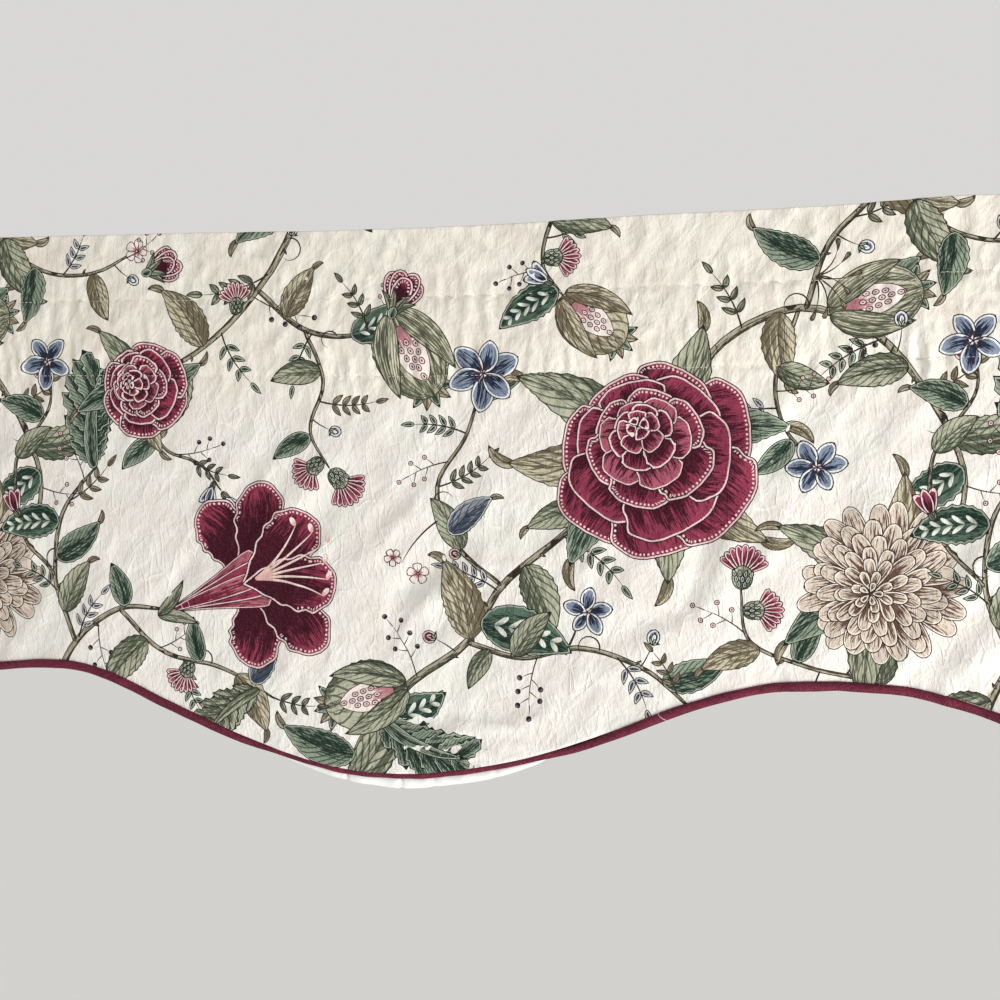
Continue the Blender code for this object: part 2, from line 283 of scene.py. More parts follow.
def puckers(x, z):
    """Short upright puckers that the two rows of stitching draw up in the cloth."""
    upper, lower = -HEADER, -HEADER - POCKET
    near = UPPER_SHARE * hump((z - upper) / PUCKER_REACH)
    near = near + hump((z - lower) / (1.4 * PUCKER_REACH))
    near = near + POCKET_SHARE * (z < upper) * (z > lower)
    total = sum(np.sin(number * (x + slant * z) + start) for number, start, slant in pucker_waves)
    strength = 0.65 + 0.35 * np.sin(2 * pi * x / 0.31 + 1.0)
    return PUCKER_DEPTH * total * near * strength


def hang(along, up, inward=0.0):
    """Places on the flat cloth to places in the air; inward is the depth under the print."""
    run = np.abs(up)
    down = np.interp(run, [0, HEADER, HEADER + POCKET_BACK, STRIP, 1],
                     [0, HEADER, HEADER + POCKET, HEADER + POCKET + HEM, 1])
    down = np.where(up > 0, down, run)
    radius = CLOTH - inward
    bend = np.minimum(down / CLOTH, 1.0) * 0.5 * pi
    z = radius * np.cos(bend) - CLOTH - np.maximum(down - CLOTH, 0.0)
    share = np.clip((down - HEADER) / POCKET, 0.0, 1.0)
    full = np.sin(pi * share) ** POCKET_FULLNESS
    flat_z = -down
    pinch = sum(hump((flat_z - row) / PINCH_REACH) for row in (-HEADER, -HEADER - POCKET))
    side = radius * np.sin(bend) * (1 - PINCH * pinch)
    y = np.where(up > 0, side + POCKET_OPEN * full, -side - POCKET_SWELL * full)
    near_seam = np.clip(1.0 - (up - edge_height(along)) / SEAM_ROUND, 0.0, 1.0)
    rounding = (0.5 * THICKNESS - inward) * (1.0 - np.sqrt(1.0 - near_seam**2))
    y = y + rounding + relief(along, flat_z) + puckers(along, flat_z)
    return np.stack([along, y, z + sag(along, flat_z)], axis=-1)


# ---- The print ----------------------------------------------------------------------
# Sprays of open flowers, striped and toothed leaves and berries on long branches, printed
# on the flat cloth before it is cut. Every petal, leaf and stem is a blade: a curved spine
# with a width along it. Millimetres on the flat cloth, as complex numbers along + up * 1j.
REPEAT = 686.0            # the print repeats at this width, 27 inches
Ink = namedtuple("Ink", "dark light line rim tone turn vein trim rib")
Blade = namedtuple("Blade", "outline inner spine half_widths ink seed")
blades = []
print_random = np.random.default_rng(3)
vary = print_random.uniform


def rgb(red, green, blue):
    """A screen colour, 0 to 255, as linear light."""
    colour = np.array([red, green, blue]) / 255
    return tuple(np.where(colour < 0.04045, colour / 12.92, ((colour + 0.055) / 1.055) ** 2.4))


def ink(dark, light, line, rim=None, tone=(0.0, 1.0, 0.0), turn=(0.0, 0.6, 0.3),
        vein=(0.0, 0.0, 0.0), trim=(0.0, 0.0, 0.55), rib=0.0):
    """How a blade is coloured. tone: share of the light ink at its base, and what length and
    width add. turn: side shade, streaks, softness. vein: lines along, lines across, share of
    the spacing. trim: rim, pitch of its dots, outline. rib: width of the middle line."""
    return Ink(*(rgb(*colour) for colour in (dark, light, line, rim or light)),
               tone, turn, vein, trim, rib)


def facing(degrees):
    return np.exp(1j * radians(degrees))


def arc(base, heading, length, bend=0.0):
    """A spine that bends evenly by so many degrees; heading is its direction half way."""
    whole = radians(bend) or 1e-6
    start = facing(heading - 0.5 * bend)
    return lambda u: base + length * start * (np.exp(1j * whole * u) - 1) / (1j * whole)


def through(points):
    """A smooth spine through places given as (along, up) pairs, and its length."""
    places = np.array([complex(*p) for p in points])
    at = lengths_along(places)
    spans = at / at[-1]

    def spine(u):
        across = smooth_table(list(zip(spans, places.real)), u)
        return across + 1j * smooth_table(list(zip(spans, places.imag)), u)

    return spine, at[-1]


def add_blade(spine, length, width, ends, ink, teeth=0, tooth=0.0, ruffle=(0, 0.0)):
    """One petal, leaf or stem. ends are how slowly its width grows at the base and tip."""
    count = 2 * teeth + 1 if teeth else int(np.clip(length / 2.7 + 2, 6, 34))
    k = np.arange(count + 1) / count
    u = k if teeth else 0.5 * (1 - np.cos(pi * k)) * 0.6 + 0.4 * k
    base, tip = ends
    top = base / (base + tip)
    shape = u**base * (1 - u) ** tip / (top**base * (1 - top) ** tip)
    half = 0.5 * width * shape
    if teeth:
        saw = np.where(np.arange(count + 1) % 2 == 1, tooth, -tooth)
        half = half * (1 + saw)
        u = np.clip(u + np.where(saw > 0, 0.35, 0.0) / count, 0, 1)
    half = half * (1 + ruffle[1] * np.cos(2 * pi * ruffle[0] * u))
    middle = spine(u)
    ahead = spine(np.clip(u + 0.002, 0, 1)) - spine(np.clip(u - 0.002, 0, 1))
    left = 1j * ahead / np.abs(ahead)
    outline = np.concatenate([middle + left * half, (middle - left * half)[-2:0:-1]])
    even = np.linspace(0, 1, max(5, count // 2 + 1))
    inset = 2.8 if width > 14 else 1.1
    room = 0.5 * width * shape * (1 - tooth) - inset
    ring = [(middle + side * left * room)[room > 0.35 * inset][:: 2 if teeth else 1]
            for side in (1, -1)] if width > 6 else []
    rib = spine(even)[1:-1] if width > 6 else middle[1:-1] if width > 2 else middle[:0]
    blades.append(Blade(outline, np.concatenate([*ring, rib]), spine(even),
                        np.interp(even, u, half), ink, vary(0, 50)))


WINE_LINE, LEAF_LINE = (46, 14, 24), (42, 44, 36)
BLUE_LINE, BARK_LINE = (32, 36, 48), (50, 42, 34)
WINE = ink((66, 16, 34), (144, 56, 80), WINE_LINE, (232, 206, 204),
           tone=(-1.5, 2.3, 0.3), turn=(0.15, 1.1, 0.6), trim=(1.1, 0, 0.75))
WINE_DOTS = WINE._replace(trim=(1.1, 3.4, 0.75))
WINE_SMALL = WINE._replace(tone=(-0.5, 1.5, 0.2), trim=(0.8, 0, 0.65))
WINE_HEART = ink((74, 18, 38), (168, 88, 106), WINE_LINE, (236, 212, 208),
                 tone=(-1.1, 2.0, 0.3), turn=(0.2, 1.1, 0.5), trim=(0.8, 0, 0.6))
PINK = ink((110, 34, 54), (184, 108, 122), (74, 24, 38), (236, 212, 208),
           tone=(-0.6, 1.4, 0.1), turn=(0.2, 1.2, 0.4), trim=(0.6, 0, 0.65))
STAMEN = ink((214, 172, 164), (242, 226, 214), (196, 148, 146),
             tone=(0.2, 0.8, 0.0), turn=(0.3, 0.4, 0.4), trim=(0, 0, 0.1))
BLUSH = ink((176, 120, 126), (240, 228, 220), (84, 48, 52),
            tone=(0.0, 1.3, 0.2), turn=(0, 0.5, 0.3), trim=(0, 0, 0.6))
TAN = ink((98, 72, 62), (216, 202, 186), (58, 40, 34), (236, 228, 214),
          tone=(-1.1, 2.2, -0.1), turn=(0.15, 1.5, 0.35), trim=(0.7, 0, 0.65))
BLUE = ink((34, 42, 62), (132, 144, 164), BLUE_LINE, (228, 230, 228),
           tone=(-0.45, 1.5, 0.5), turn=(0, 1.5, 0.3), trim=(1.1, 0, 0.75))
MIST = ink((64, 74, 88), (154, 160, 170), BLUE_LINE, (206, 208, 204),
           tone=(0.2, 0.4, 0.0), turn=(0.6, 0.8, 0.4), vein=(5, -2, 0.10), trim=(0.6, 0, 0.65),
           rib=0.4)
SAGE = ink((84, 92, 74), (182, 184, 160), LEAF_LINE,
           tone=(0.35, 0.4, 0.0), turn=(0.6, 0.9, 0.5), vein=(7, -2.4, 0.11),
           trim=(0, 0, 0.75), rib=0.6)
PINE = ink((38, 60, 50), (142, 156, 136), (24, 34, 30), (180, 188, 170),
           tone=(0.22, 0.3, 0.35), turn=(0.6, 1.0, 0.4), vein=(9, -3.2, 0.14),
           trim=(0.5, 0, 0.7), rib=0.6)
STRIPED = ink((96, 102, 82), (206, 202, 178), (58, 62, 48),
              tone=(0.5, 0.0, 0.0), turn=(0.3, 1.2, 0.5), vein=(1.2, 4.6, 0.17),
              trim=(0, 0, 0.8), rib=0.6)
FAWN = ink((114, 104, 82), (204, 196, 170), (66, 56, 44),
           tone=(0.3, 0.3, 0.0), turn=(0.5, 0.9, 0.4), vein=(7, -2.4, 0.11), trim=(0, 0, 0.7),
           rib=0.5)
DEEP = ink((28, 50, 42), (88, 110, 94), (22, 34, 28), (166, 174, 160),
           tone=(0.25, 0.0, 0.4), turn=(0.6, 1.0, 0.4), trim=(0.8, 0, 0.7))
PALE = ink((142, 154, 140), (222, 224, 212), (40, 56, 48),
           tone=(0.2, 0.8, 0.0), turn=(0.3, 0.3, 0.4), trim=(0, 0, 0.35))
BARK = ink((64, 66, 52), (176, 168, 146), BARK_LINE,
           tone=(0.5, 0.0, 0.0), turn=(0.9, 1.0, 0.25), trim=(0, 0, 0.7))
TWIG = BARK._replace(trim=(0, 0, 0.4))
BERRY = ink((40, 28, 42), (120, 100, 116), (32, 24, 34),
            tone=(0.0, 0.9, 0.0), turn=(0.3, 0.3, 0.3), trim=(0, 0, 0.5))

# The ends of blades: how slowly the width grows at the base and at the tip.
PETAL, POINTED, LEAF, ROUND = (1.0, 0.42), (0.75, 0.7), (0.6, 0.95), (0.5, 0.5)
TAPER, CLUB = (0.04, 0.5), (0.9, 0.3)


def leaf(base, heading, length, width, ink, bend=25, ends=LEAF, **edge):
    add_blade(arc(base, heading, length, bend), length, width, ends, ink, **edge)


def curled_leaf(base, heading, length, width, ink, bend=30):
    """A scalloped leaf with its tip curled over to the paler side."""
    tip = arc(base, heading, length, bend)(0.93)
    leaf(tip, heading + 1.3 * bend, 0.26 * length, 0.24 * width, FAWN, 2.6 * bend, (0.5, 0.8))
    leaf(base, heading, length, width, ink, bend, LEAF, ruffle=(length / 6, 0.045))


def twig(base, heading, length, bend=20, width=1.3, ink=TWIG):
    """A thin stem; gives back its spine, for what grows on it."""
    spine = arc(base, heading, length, bend)
    add_blade(spine, length, width, TAPER, ink)
    return spine


def branch(points, width, ink=BARK):
    spine, length = through(points)
    add_blade(spine, length, width, (0.05, 0.25), ink)
    return spine


def heading_at(spine, u):
    return np.degrees(np.angle(spine(u + 0.01) - spine(u - 0.01)))


def sprig(base, heading, length, pairs, size, ink, bend=30):
    """A twig with pairs of small leaves and one at its tip."""
    spine = twig(base, heading, length, bend)
    for k in range(pairs):
        u = 0.25 + 0.65 * k / pairs
        for side in (1, -1):
            leaf(spine(u), heading_at(spine, u) + 48 * side, size * (1.1 - 0.4 * u), 0.42 * size,
                 ink, -20 * side)
    leaf(spine(0.97), heading_at(spine, 0.9), size, 0.4 * size, ink, 15)


def berries(base, heading, length, count, size=4.0, ink=BERRY, bend=25):
    """A twig with round berries on short stalks."""
    spine = twig(base, heading, length, bend, 1.0)
    for k in range(count):
        u = 0.35 + 0.6 * k / max(count - 1, 1)
        side = 1 if k % 2 else -1
        way = heading_at(spine, min(u, 0.98)) + (55 * side if k < count - 1 else 0)
        stalk = twig(spine(u), way, 2.0 * size, -15 * side, 0.8)
        leaf(stalk(0.95), way, size, size, ink, 0, ROUND)


def tendril(base, heading, length, curl=260, width=1.2, ink=TWIG):
    add_blade(arc(base, heading + 0.5 * curl, length, curl), length, width, TAPER, ink)


def frond(base, heading, length, width, pairs, ink, bend=25):
    """A long leaf cut into curved lobes on both sides of its rib."""
    spine = arc(base, heading, length, bend)
    for k in range(pairs):
        u = 0.06 + 0.88 * k / pairs
        reach = 0.62 * width * (0.45 + np.sin(pi * (0.12 + 0.8 * u)))
        for side in (1, -1):
            leaf(spine(u), heading_at(spine, u) + 38 * side, reach, 0.5 * reach, ink, 30 * side,
                 (0.5, 0.8), teeth=4, tooth=0.14)
    add_blade(spine, length * 1.04, 0.26 * width, (0.35, 0.9), ink)


def feather_leaf(base, heading, length, width, bend=30):
    """A dark scalloped leaf with a pale feathered middle."""
    leaf(base, heading, length, width, DEEP, bend, LEAF, ruffle=(length / 6, 0.06))
    way = heading - 0.42 * bend
    for k in range(5):
        u = 0.14 + 0.15 * k
        spot = arc(base, heading, length, bend)(u)
        for side in (1, -1):
            leaf(spot, way + 0.85 * bend * u + 34 * side, width * (0.44 - 0.05 * abs(k - 1)),
                 0.13 * width, PALE, 24 * side, (0.7, 0.5))


def seed_pod(base, heading, size, ink=STRIPED):
    """A ripe pod: a ribbed husk split open over rows of seeds, under a crown of sepals."""
    way = facing(heading)
    for k in (-2, 2, -1, 1, 0):
        leaf(base + 0.80 * size * way, heading + 27 * k, 0.34 * size, 0.14 * size,
             FAWN if k % 2 else PINE, 16 * k)
    leaf(base, heading, size, 0.80 * size, ink, 6, (0.5, 0.55), ruffle=(9, 0.02))
    leaf(base + 0.16 * size * way, heading, 0.66 * size, 0.34 * size, BLUSH, 0, (0.6, 0.7))
    for row in range(5):
        for k in (-1, 0, 1) if row < 4 else (0,):
            spot = 0.27 + 0.10 * row + 0.05 * (k == 0) + 0.085j * k * (1.1 - 0.12 * row)
            leaf(base + size * spot * way, heading, 0.085 * size, 0.062 * size, WINE_SMALL, 0, ROUND)
    for side in (1, -1):
        leaf(base + 0.04j * side * size * way, heading + 19 * side, 0.92 * size, 0.28 * size, ink,
             -36 * side)


def ways_round(turned, count, first=0):
    """Headings spread evenly all round."""
    return [turned + 360 * (k + first) / count for k in range(count)]


def star(centre, turned, size, petals, ink=BLUE):
    """A flat flower of pointed petals round a small eye."""
    for way in ways_round(turned, petals):
        way = way + vary(-7, 7)
        long = size * vary(0.88, 1.08)
        leaf(centre, way, long, 0.62 * long, ink, vary(-25, 25), POINTED)
    for way in ways_round(turned, petals, 0.5):
        leaf(centre, way, 0.28 * size, 0.06 * size, BLUSH, 10, CLUB)


def blossom(centre, turned, size, ink=BLUSH, petals=5):
    """A small round-petalled flower with a dark eye."""
    for way in ways_round(turned, petals):
        leaf(centre, way, size, 0.85 * size, ink, 0, PETAL)
    leaf(centre - 0.14 * size, 0, 0.28 * size, 0.28 * size, WINE_SMALL, 0, ROUND)


def thistle(base, heading, size):
    """A tuft of fine petals out of a round cup of scales."""
    way = facing(heading)
    for k in (-4, 4, -3, 3, -2, 2, -1, 1, 0):
        leaf(base + 0.34 * size * way, heading + 14 * k, size * (0.76 - 0.02 * abs(k)),
             0.19 * size, WINE_SMALL if k % 2 else PINK, 4 * k, (0.9, 0.35))
    leaf(base, heading, 0.60 * size, 0.50 * size, SAGE, 0, ROUND)
    for up, count in ((0.30, 4), (0.17, 3), (0.05, 2)):
        for k in range(count):
            side = k - 0.5 * (count - 1)
            leaf(base + size * (up + 0.115j * side) * way, heading + 12 * side, 0.20 * size,
                 0.12 * size, PINE, 0)


def bell(base, heading, size, ink=WINE_SMALL):
    """A hanging flower of three petals out of a green cup."""
    for side in (-24, 24, 0):
        leaf(base + 0.2 * size * facing(heading), heading + side, size, 0.42 * size, ink,
             1.3 * side, (0.6, 0.6))
    for side in (-20, 20):
        leaf(base, heading + side, 0.42 * size, 0.2 * size, SAGE, side)


def spiky_head(base, heading, size):
    """Curled stamens with swollen tips in a loose spray."""
    for k in range(7):
        curl = vary(25, 60) * (1 if k > 3 else -1)
        way = heading + 24 * (k - 3) + vary(-6, 6)
        stalk = twig(base, way, size * vary(0.6, 0.8), curl, 1.2)
        leaf(stalk(0.9), way + 0.6 * curl, 0.36 * size, 0.12 * size, FAWN, 0.6 * curl, (1.4, 0.3))


def closed_bud(base, heading, size, ink=BLUE):
    """A round bud on a stalk, with pointed green leaflets at its base."""
    tip = twig(base, heading, 2.0 * size, 24, 1.1)(0.97)
    leaf(tip, heading + 12, 1.3 * size, 1.1 * size, ink, 0, ROUND)
    leaf(tip, heading + 12, 1.0 * size, 0.5 * size, ink, 30, ROUND)
    for side in (-60, -14, 42):
        leaf(tip, heading + side, 0.75 * size, 0.26 * size, PINE, side)


def wrapped_bud(base, heading, size, ink=WINE_DOTS):
    """A half-open bud: petals wrapped over each other in a leafy cup."""
    for side, reach in ((-30, 0.9), (30, 0.92), (-12, 1.0), (14, 0.96), (0, 0.84)):
        leaf(base, heading + side, size * reach, 0.5 * size, ink, 1.6 * side, (0.7, 0.5))
    for side in (-46, 46, -22, 20):
        leaf(base - 0.06 * size * facing(heading), heading + side, 0.62 * size, 0.17 * size,
             SAGE, 0.9 * side)
    leaf(base - 0.16 * size * facing(heading), heading, 0.3 * size, 0.24 * size, PINE, 0, ROUND)


def peony(centre, turned, size):
    """A full double flower, a little aslant: rings of broad petals round a ruffled heart."""
    rings = [(7, 1.02, 0.98, WINE_DOTS), (6, 0.82, 0.86, WINE), (6, 0.65, 0.62, WINE_DOTS),
             (6, 0.50, 0.44, WINE_HEART), (6, 0.37, 0.34, WINE), (5, 0.25, 0.25, WINE_HEART),
             (4, 0.13, 0.16, WINE_HEART)]
    for row, (count, reach, wide, kind) in enumerate(rings):
        middle = centre + 0.045 * row * size * facing(turned + 95)
        for way in ways_round(turned + 31 * row, count):
            way = way + vary(-8, 8)
            away = (1.0 - 0.16 * np.cos(radians(way - turned - 95))) * vary(0.95, 1.05)
            leaf(middle, way, size * reach * away, size * wide * away, kind,
                 vary(-14, 14), PETAL,
                 ruffle=(print_random.integers(3, 6), 0.035 + 0.006 * row))


def trumpet(centre, heading, size):
    """A trumpet flower seen from its side: a ribbed tube and six back-turned petals."""
    base = centre - 1.0 * size * facing(heading)
    for way, reach, bend in ((-108, 0.80, -60), (104, 0.84, 56), (-60, 1.0, -44), (62, 0.98, 40)):
        leaf(centre - 0.12 * size * facing(heading), heading + way, size * reach, size * 0.52,
             WINE_DOTS, bend, (0.9, 0.5), ruffle=(5, 0.06))
    for side in (2, -2, 1, -1, 0):
        leaf(base, heading + 6 * side, 1.12 * size, 0.17 * size, WINE_SMALL if side % 2 else PINK,
             10 * side, (0.9, 0.25))
    for way, reach, bend in ((26, 0.94, 26), (-22, 0.92, -20)):
        leaf(centre - 0.14 * size * facing(heading), heading + way, size * reach, size * 0.54,
             WINE_DOTS, bend, (1.0, 0.45), ruffle=(5, 0.06))
    for k in range(6):
        way = heading + 13 * (k - 2.5)
        stamen = twig(centre, way, size * vary(0.55, 0.85), 12 * (k - 2.5), 2.1,
                      STAMEN)
        leaf(stamen(0.96), way + 60, 7.5, 4.0, STAMEN, 0, ROUND)
    for side in (-30, 34):
        leaf(base - 2 * facing(heading), heading + side, 0.42 * size, 0.13 * size, SAGE, side)


def chrysanthemum(centre, turned, size):
    """A round flower of many narrow petals in rings, a little aslant."""
    rings = [(19, 1.00, 0.27), (17, 0.87, 0.25), (15, 0.72, 0.22), (12, 0.57, 0.19),
             (9, 0.42, 0.16), (7, 0.28, 0.13), (5, 0.16, 0.10)]
    for row, (count, reach, wide) in enumerate(rings):
        for way in ways_round(turned + 13 * row, count):
            way = way + vary(-5, 5)
            long = size * reach * vary(0.92, 1.08)
            leaf(centre + 0.03 * row * size * facing(turned), way, long, size * wide, TAN,
                 vary(-26, 26), (1.1, 0.45))


def thorny(spine, places, size=5.5):
    """Small cut-off shoots along a branch."""
    for k, u in enumerate(places):
        side = 1 if k % 2 else -1
        leaf(spine(u), heading_at(spine, u) + 60 * side, size, 0.42 * size, BARK, -30 * side)


def dress(spine, *growth):
    """What grows on a branch: each a place along it, a motif, and that motif's sizes."""
    for u, motif, *sizes in growth:
        motif(spine(u), *sizes)


# One repeat: branches first, then what grows on them, and the big flowers over all.
low_branch = branch([(-356, -440), (-344, -384), (-306, -338), (-262, -306), (-236, -264),
                     (-190, -226), (-140, -180)], 6.4)
low_fork = branch([(-262, -306), (-222, -316), (-178, -308), (-132, -322), (-96, -352)], 4.4)
rise_branch = branch([(-236, -264), (-272, -232), (-284, -190), (-262, -152), (-250, -108)], 3.8)
top_branch = branch([(-112, -140), (-78, -92), (-26, -70), (22, -88), (58, -132), (82, -184),
                     (78, -222), (66, -238)], 5.8)
middle_fork = branch([(-26, -70), (-42, -118), (-36, -152), (-14, -178)], 3.4)
hanging_branch = branch([(-404, 128), (-388, 62), (-396, 4), (-424, -44), (-462, -84),
                         (-520, -116)], 5.6)
side_branch = branch([(-424, -44), (-386, -74), (-346, -78), (-316, -60)], 4.4)
drop_branch = branch([(-386, -74), (-372, -112), (-382, -150), (-366, -178)], 3.2)
left_branch = branch([(-606, -430), (-594, -360), (-572, -312), (-536, -286), (-498, -286)], 5.8)
left_twig = branch([(-572, -312), (-590, -262), (-584, -214), (-556, -178)], 4.2)
bud_branch = branch([(-590, -262), (-620, -226), (-624, -176), (-596, -132), (-598, -98)], 3.2)
inner_twig = branch([(-520, -130), (-500, -164), (-470, -176), (-452, -196)], 2.8)
under_branch = branch([(-536, -286), (-500, -318), (-452, -330), (-410, -352)], 3.8)
back_branch = branch([(-250, 130), (-226, 84), (-176, 56), (-120, 62), (-70, 96)], 4.8)
far_branch = branch([(-22, -72), (-6, -26), (26, 12), (20, 62), (52, 104)], 4.4)
over_branch = branch([(-176, 56), (-196, 10), (-206, -30), (-190, -56)], 3.6)
stem_branch = branch([(52, -352), (30, -330), (-20, -318), (-60, -300), (-66, -262)], 3.4)
corner_branch = branch([(-650, 40), (-632, -6), (-600, -28), (-560, -30), (-520, -12)], 3.6)

for spine, places in ((low_branch, (0.12, 0.27, 0.45, 0.58, 0.74)), (top_branch, (0.3, 0.5, 0.62)),
                      (hanging_branch, (0.3, 0.48, 0.68, 0.84)), (left_branch, (0.2, 0.5, 0.7)),
                      (left_twig, (0.3, 0.6)), (far_branch, (0.2, 0.45)), (low_fork, (0.4, 0.7)),
                      (stem_branch, (0.3, 0.6)), (corner_branch, (0.3, 0.7))):
    thorny(spine, places)

dress(low_branch,
      (0.30, tendril, 200, 42, -240), (0.18, sprig, 30, 62, 4, 13, PINE),
      (0.62, sprig, 158, 46, 4, 11, MIST), (0.80, sprig, -40, 58, 4, 13, PINE, -30),
      (0.36, berries, 118, 44, 6), (0.08, curled_leaf, 60, 72, 30, SAGE, 40),
      (0.14, curled_leaf, 160, 62, 27, PINE, -30), (0.50, curled_leaf, 110, 64, 30, FAWN, 35),
      (0.70, curled_leaf, -70, 58, 27, SAGE, -30), (0.54, feather_leaf, -16, 72, 35, -30),
      (0.22, feather_leaf, 24, 62, 31, 30), (0.24, frond, -22, 78, 40, 6, PINE, 45),
      (0.33, seed_pod, 196, 66, SAGE), (0.46, closed_bud, 150, 9, WINE_SMALL),
      (0.88, curled_leaf, 196, 50, 22, SAGE, 30))
dress(low_fork,
      (0.55, tendril, 70, 34, 250), (0.62, sprig, -60, 44, 3, 12, MIST, -30),
      (0.3, berries, -100, 38, 6, 4.2), (0.20, leaf, 50, 44, 20, SAGE, -30),
      (0.82, curled_leaf, 20, 50, 23, PINE, 30), (0.98, curled_leaf, -60, 54, 26, SAGE, 25),
      (0.42, twig, 70, 26, 20, 1.8), (0.72, closed_bud, 64, 9), (0.10, leaf, -120, 34, 15, SAGE),
      (0.9, sprig, 120, 36, 3, 10, FAWN))
dress(rise_branch,
      (0.4, tendril, 160, 30, -230), (0.5, sprig, 30, 46, 4, 11, SAGE),
      (0.75, sprig, 170, 42, 4, 11, PINE), (0.62, berries, 200, 34, 5, 3.8, PINK),
      (0.22, leaf, 120, 46, 21, SAGE, 30), (0.30, curled_leaf, 40, 44, 20, MIST, -30),
      (0.90, leaf, 20, 34, 16, PINE, -25), (0.12, closed_bud, 150, 8, WINE_SMALL))
dress(top_branch,
      (0.36, tendril, 78, 34, 230), (0.70, tendril, -10, 30, -220),
      (0.22, sprig, 118, 46, 3, 12, SAGE), (0.52, sprig, -150, 50, 4, 12, PINE),
      (0.66, sprig, 30, 40, 3, 12, FAWN), (0.44, berries, -60, 40, 5),
      (0.86, berries, -10, 30, 4, 3.8, PINK), (0.30, curled_leaf, -84, 52, 24, FAWN, 30),
      (0.48, curled_leaf, 52, 60, 27, PINE, -40), (0.60, curled_leaf, -170, 50, 23, SAGE, 35),
      (0.76, curled_leaf, 14, 58, 26, SAGE, 35), (0.82, feather_leaf, -150, 52, 27, -30),
      (0.40, seed_pod, 12, 64), (0.56, closed_bud, 80, 9))
dress(middle_fork,
      (0.6, sprig, 190, 40, 3, 11, MIST), (0.35, leaf, -20, 38, 18, SAGE, 30),
      (0.80, leaf, 220, 38, 17, PINE, -30), (0.5, berries, 10, 30, 5, 3.6, PINK))
dress(hanging_branch,
      (0.45, tendril, 10, 34, -230), (0.55, sprig, 196, 58, 4, 14, SAGE, -35),
      (0.74, sprig, -58, 46, 3, 12, PINE), (0.62, berries, -20, 44, 6, 4.4),
      (0.36, curled_leaf, -150, 60, 27, PINE, 30), (0.40, curled_leaf, 2, 54, 25, SAGE, -35),
      (0.80, curled_leaf, 130, 58, 26, FAWN, 30), (0.88, curled_leaf, -104, 54, 26, SAGE, -30),
      (0.14, frond, 40, 70, 40, 6, SAGE, 40), (0.50, closed_bud, 60, 9),
      (0.68, thistle, 100, 24))
dress(side_branch,
      (0.6, tendril, 110, 26, 240), (0.45, sprig, -112, 44, 3, 11, PINE),
      (0.85, berries, 66, 32, 5, 3.6, PINK), (0.25, curled_leaf, 60, 44, 21, FAWN, -25),
      (0.68, feather_leaf, 30, 50, 25, 25), (0.97, seed_pod, -62, 70),
      (0.80, sprig, 120, 42, 3, 11, SAGE))
dress(drop_branch,
      (0.5, sprig, 0, 46, 4, 11, FAWN), (0.3, leaf, 190, 42, 19, SAGE, 30),
      (0.75, leaf, 210, 36, 16, PINE, 25), (1.0, thistle, -50, 30), (0.92, thistle, -140, 27),
      (0.62, closed_bud, -30, 8))
dress(left_branch,
      (0.30, sprig, 8, 52, 4, 12, SAGE, 40), (0.62, sprig, 60, 40, 3, 11, MIST, -30),
      (0.72, berries, -78, 42, 5), (0.16, curled_leaf, 30, 62, 28, FAWN, 35),
      (0.46, curled_leaf, 190, 52, 25, SAGE, -35), (0.84, leaf, 110, 36, 17, PINE, 25))
dress(left_twig,
      (0.5, tendril, 170, 28, 230), (0.28, sprig, 150, 36, 3, 11, PINE),
      (0.76, sprig, 40, 44, 3, 12, FAWN), (0.9, berries, 118, 34, 5, 4.0, PINK),
      (0.16, curled_leaf, 62, 46, 21, SAGE, -35), (0.46, curled_leaf, 36, 48, 22, PINE, 30),
      (0.64, feather_leaf, 188, 54, 27, 30), (0.98, frond, 84, 78, 46, 6, PINE, -40))
dress(bud_branch,
      (0.4, tendril, 200, 26, 220), (0.55, leaf, 40, 38, 18, SAGE, -30),
      (0.75, curled_leaf, 160, 42, 20, PINE, 30), (0.3, bell, 110, 20),
      (0.86, closed_bud, 120, 8, WINE_SMALL), (1.0, star, 50, 24, 5))
dress(inner_twig,
      (0.5, berries, 10, 34, 5, 3.8), (0.3, leaf, 220, 38, 17, PINE, 25),
      (1.0, bell, -60, 20, BLUE), (0.9, bell, -110, 18, BLUE), (0.62, sprig, -20, 36, 3, 10, SAGE))
dress(under_branch,
      (0.6, tendril, 60, 30, 230), (0.45, sprig, -70, 44, 4, 11, PINE),
      (0.96, sprig, -10, 40, 3, 11, SAGE), (0.3, berries, 30, 30, 5, 3.6, PINK),
      (0.22, curled_leaf, -130, 54, 25, SAGE, 30), (0.55, leaf, 100, 36, 16, PINE, -30),
      (0.75, curled_leaf, -60, 50, 23, FAWN, -30), (0.9, frond, -140, 56, 34, 5, SAGE, 30),
      (0.5, thistle, -120, 25), (0.85, curled_leaf, 70, 46, 21, MIST, 30))
dress(back_branch,
      (0.3, sprig, 120, 44, 3, 12, SAGE), (0.8, sprig, -60, 40, 3, 12, FAWN),
      (0.55, berries, 80, 36, 5), (0.12, curled_leaf, 20, 56, 26, PINE, -30),
      (0.98, curled_leaf, 30, 54, 26, SAGE, 30), (0.45, seed_pod, -30, 60, SAGE))
dress(far_branch,
      (0.35, sprig, 20, 44, 3, 12, SAGE), (0.75, sprig, 150, 50, 4, 13, MIST),
      (0.18, curled_leaf, 152, 54, 24, PINE, -35), (0.50, curled_leaf, -20, 58, 27, FAWN, 30),
      (0.98, curled_leaf, 80, 58, 28, SAGE, 30), (0.28, closed_bud, -30, 9),
      (0.12, spiky_head, -20, 30))
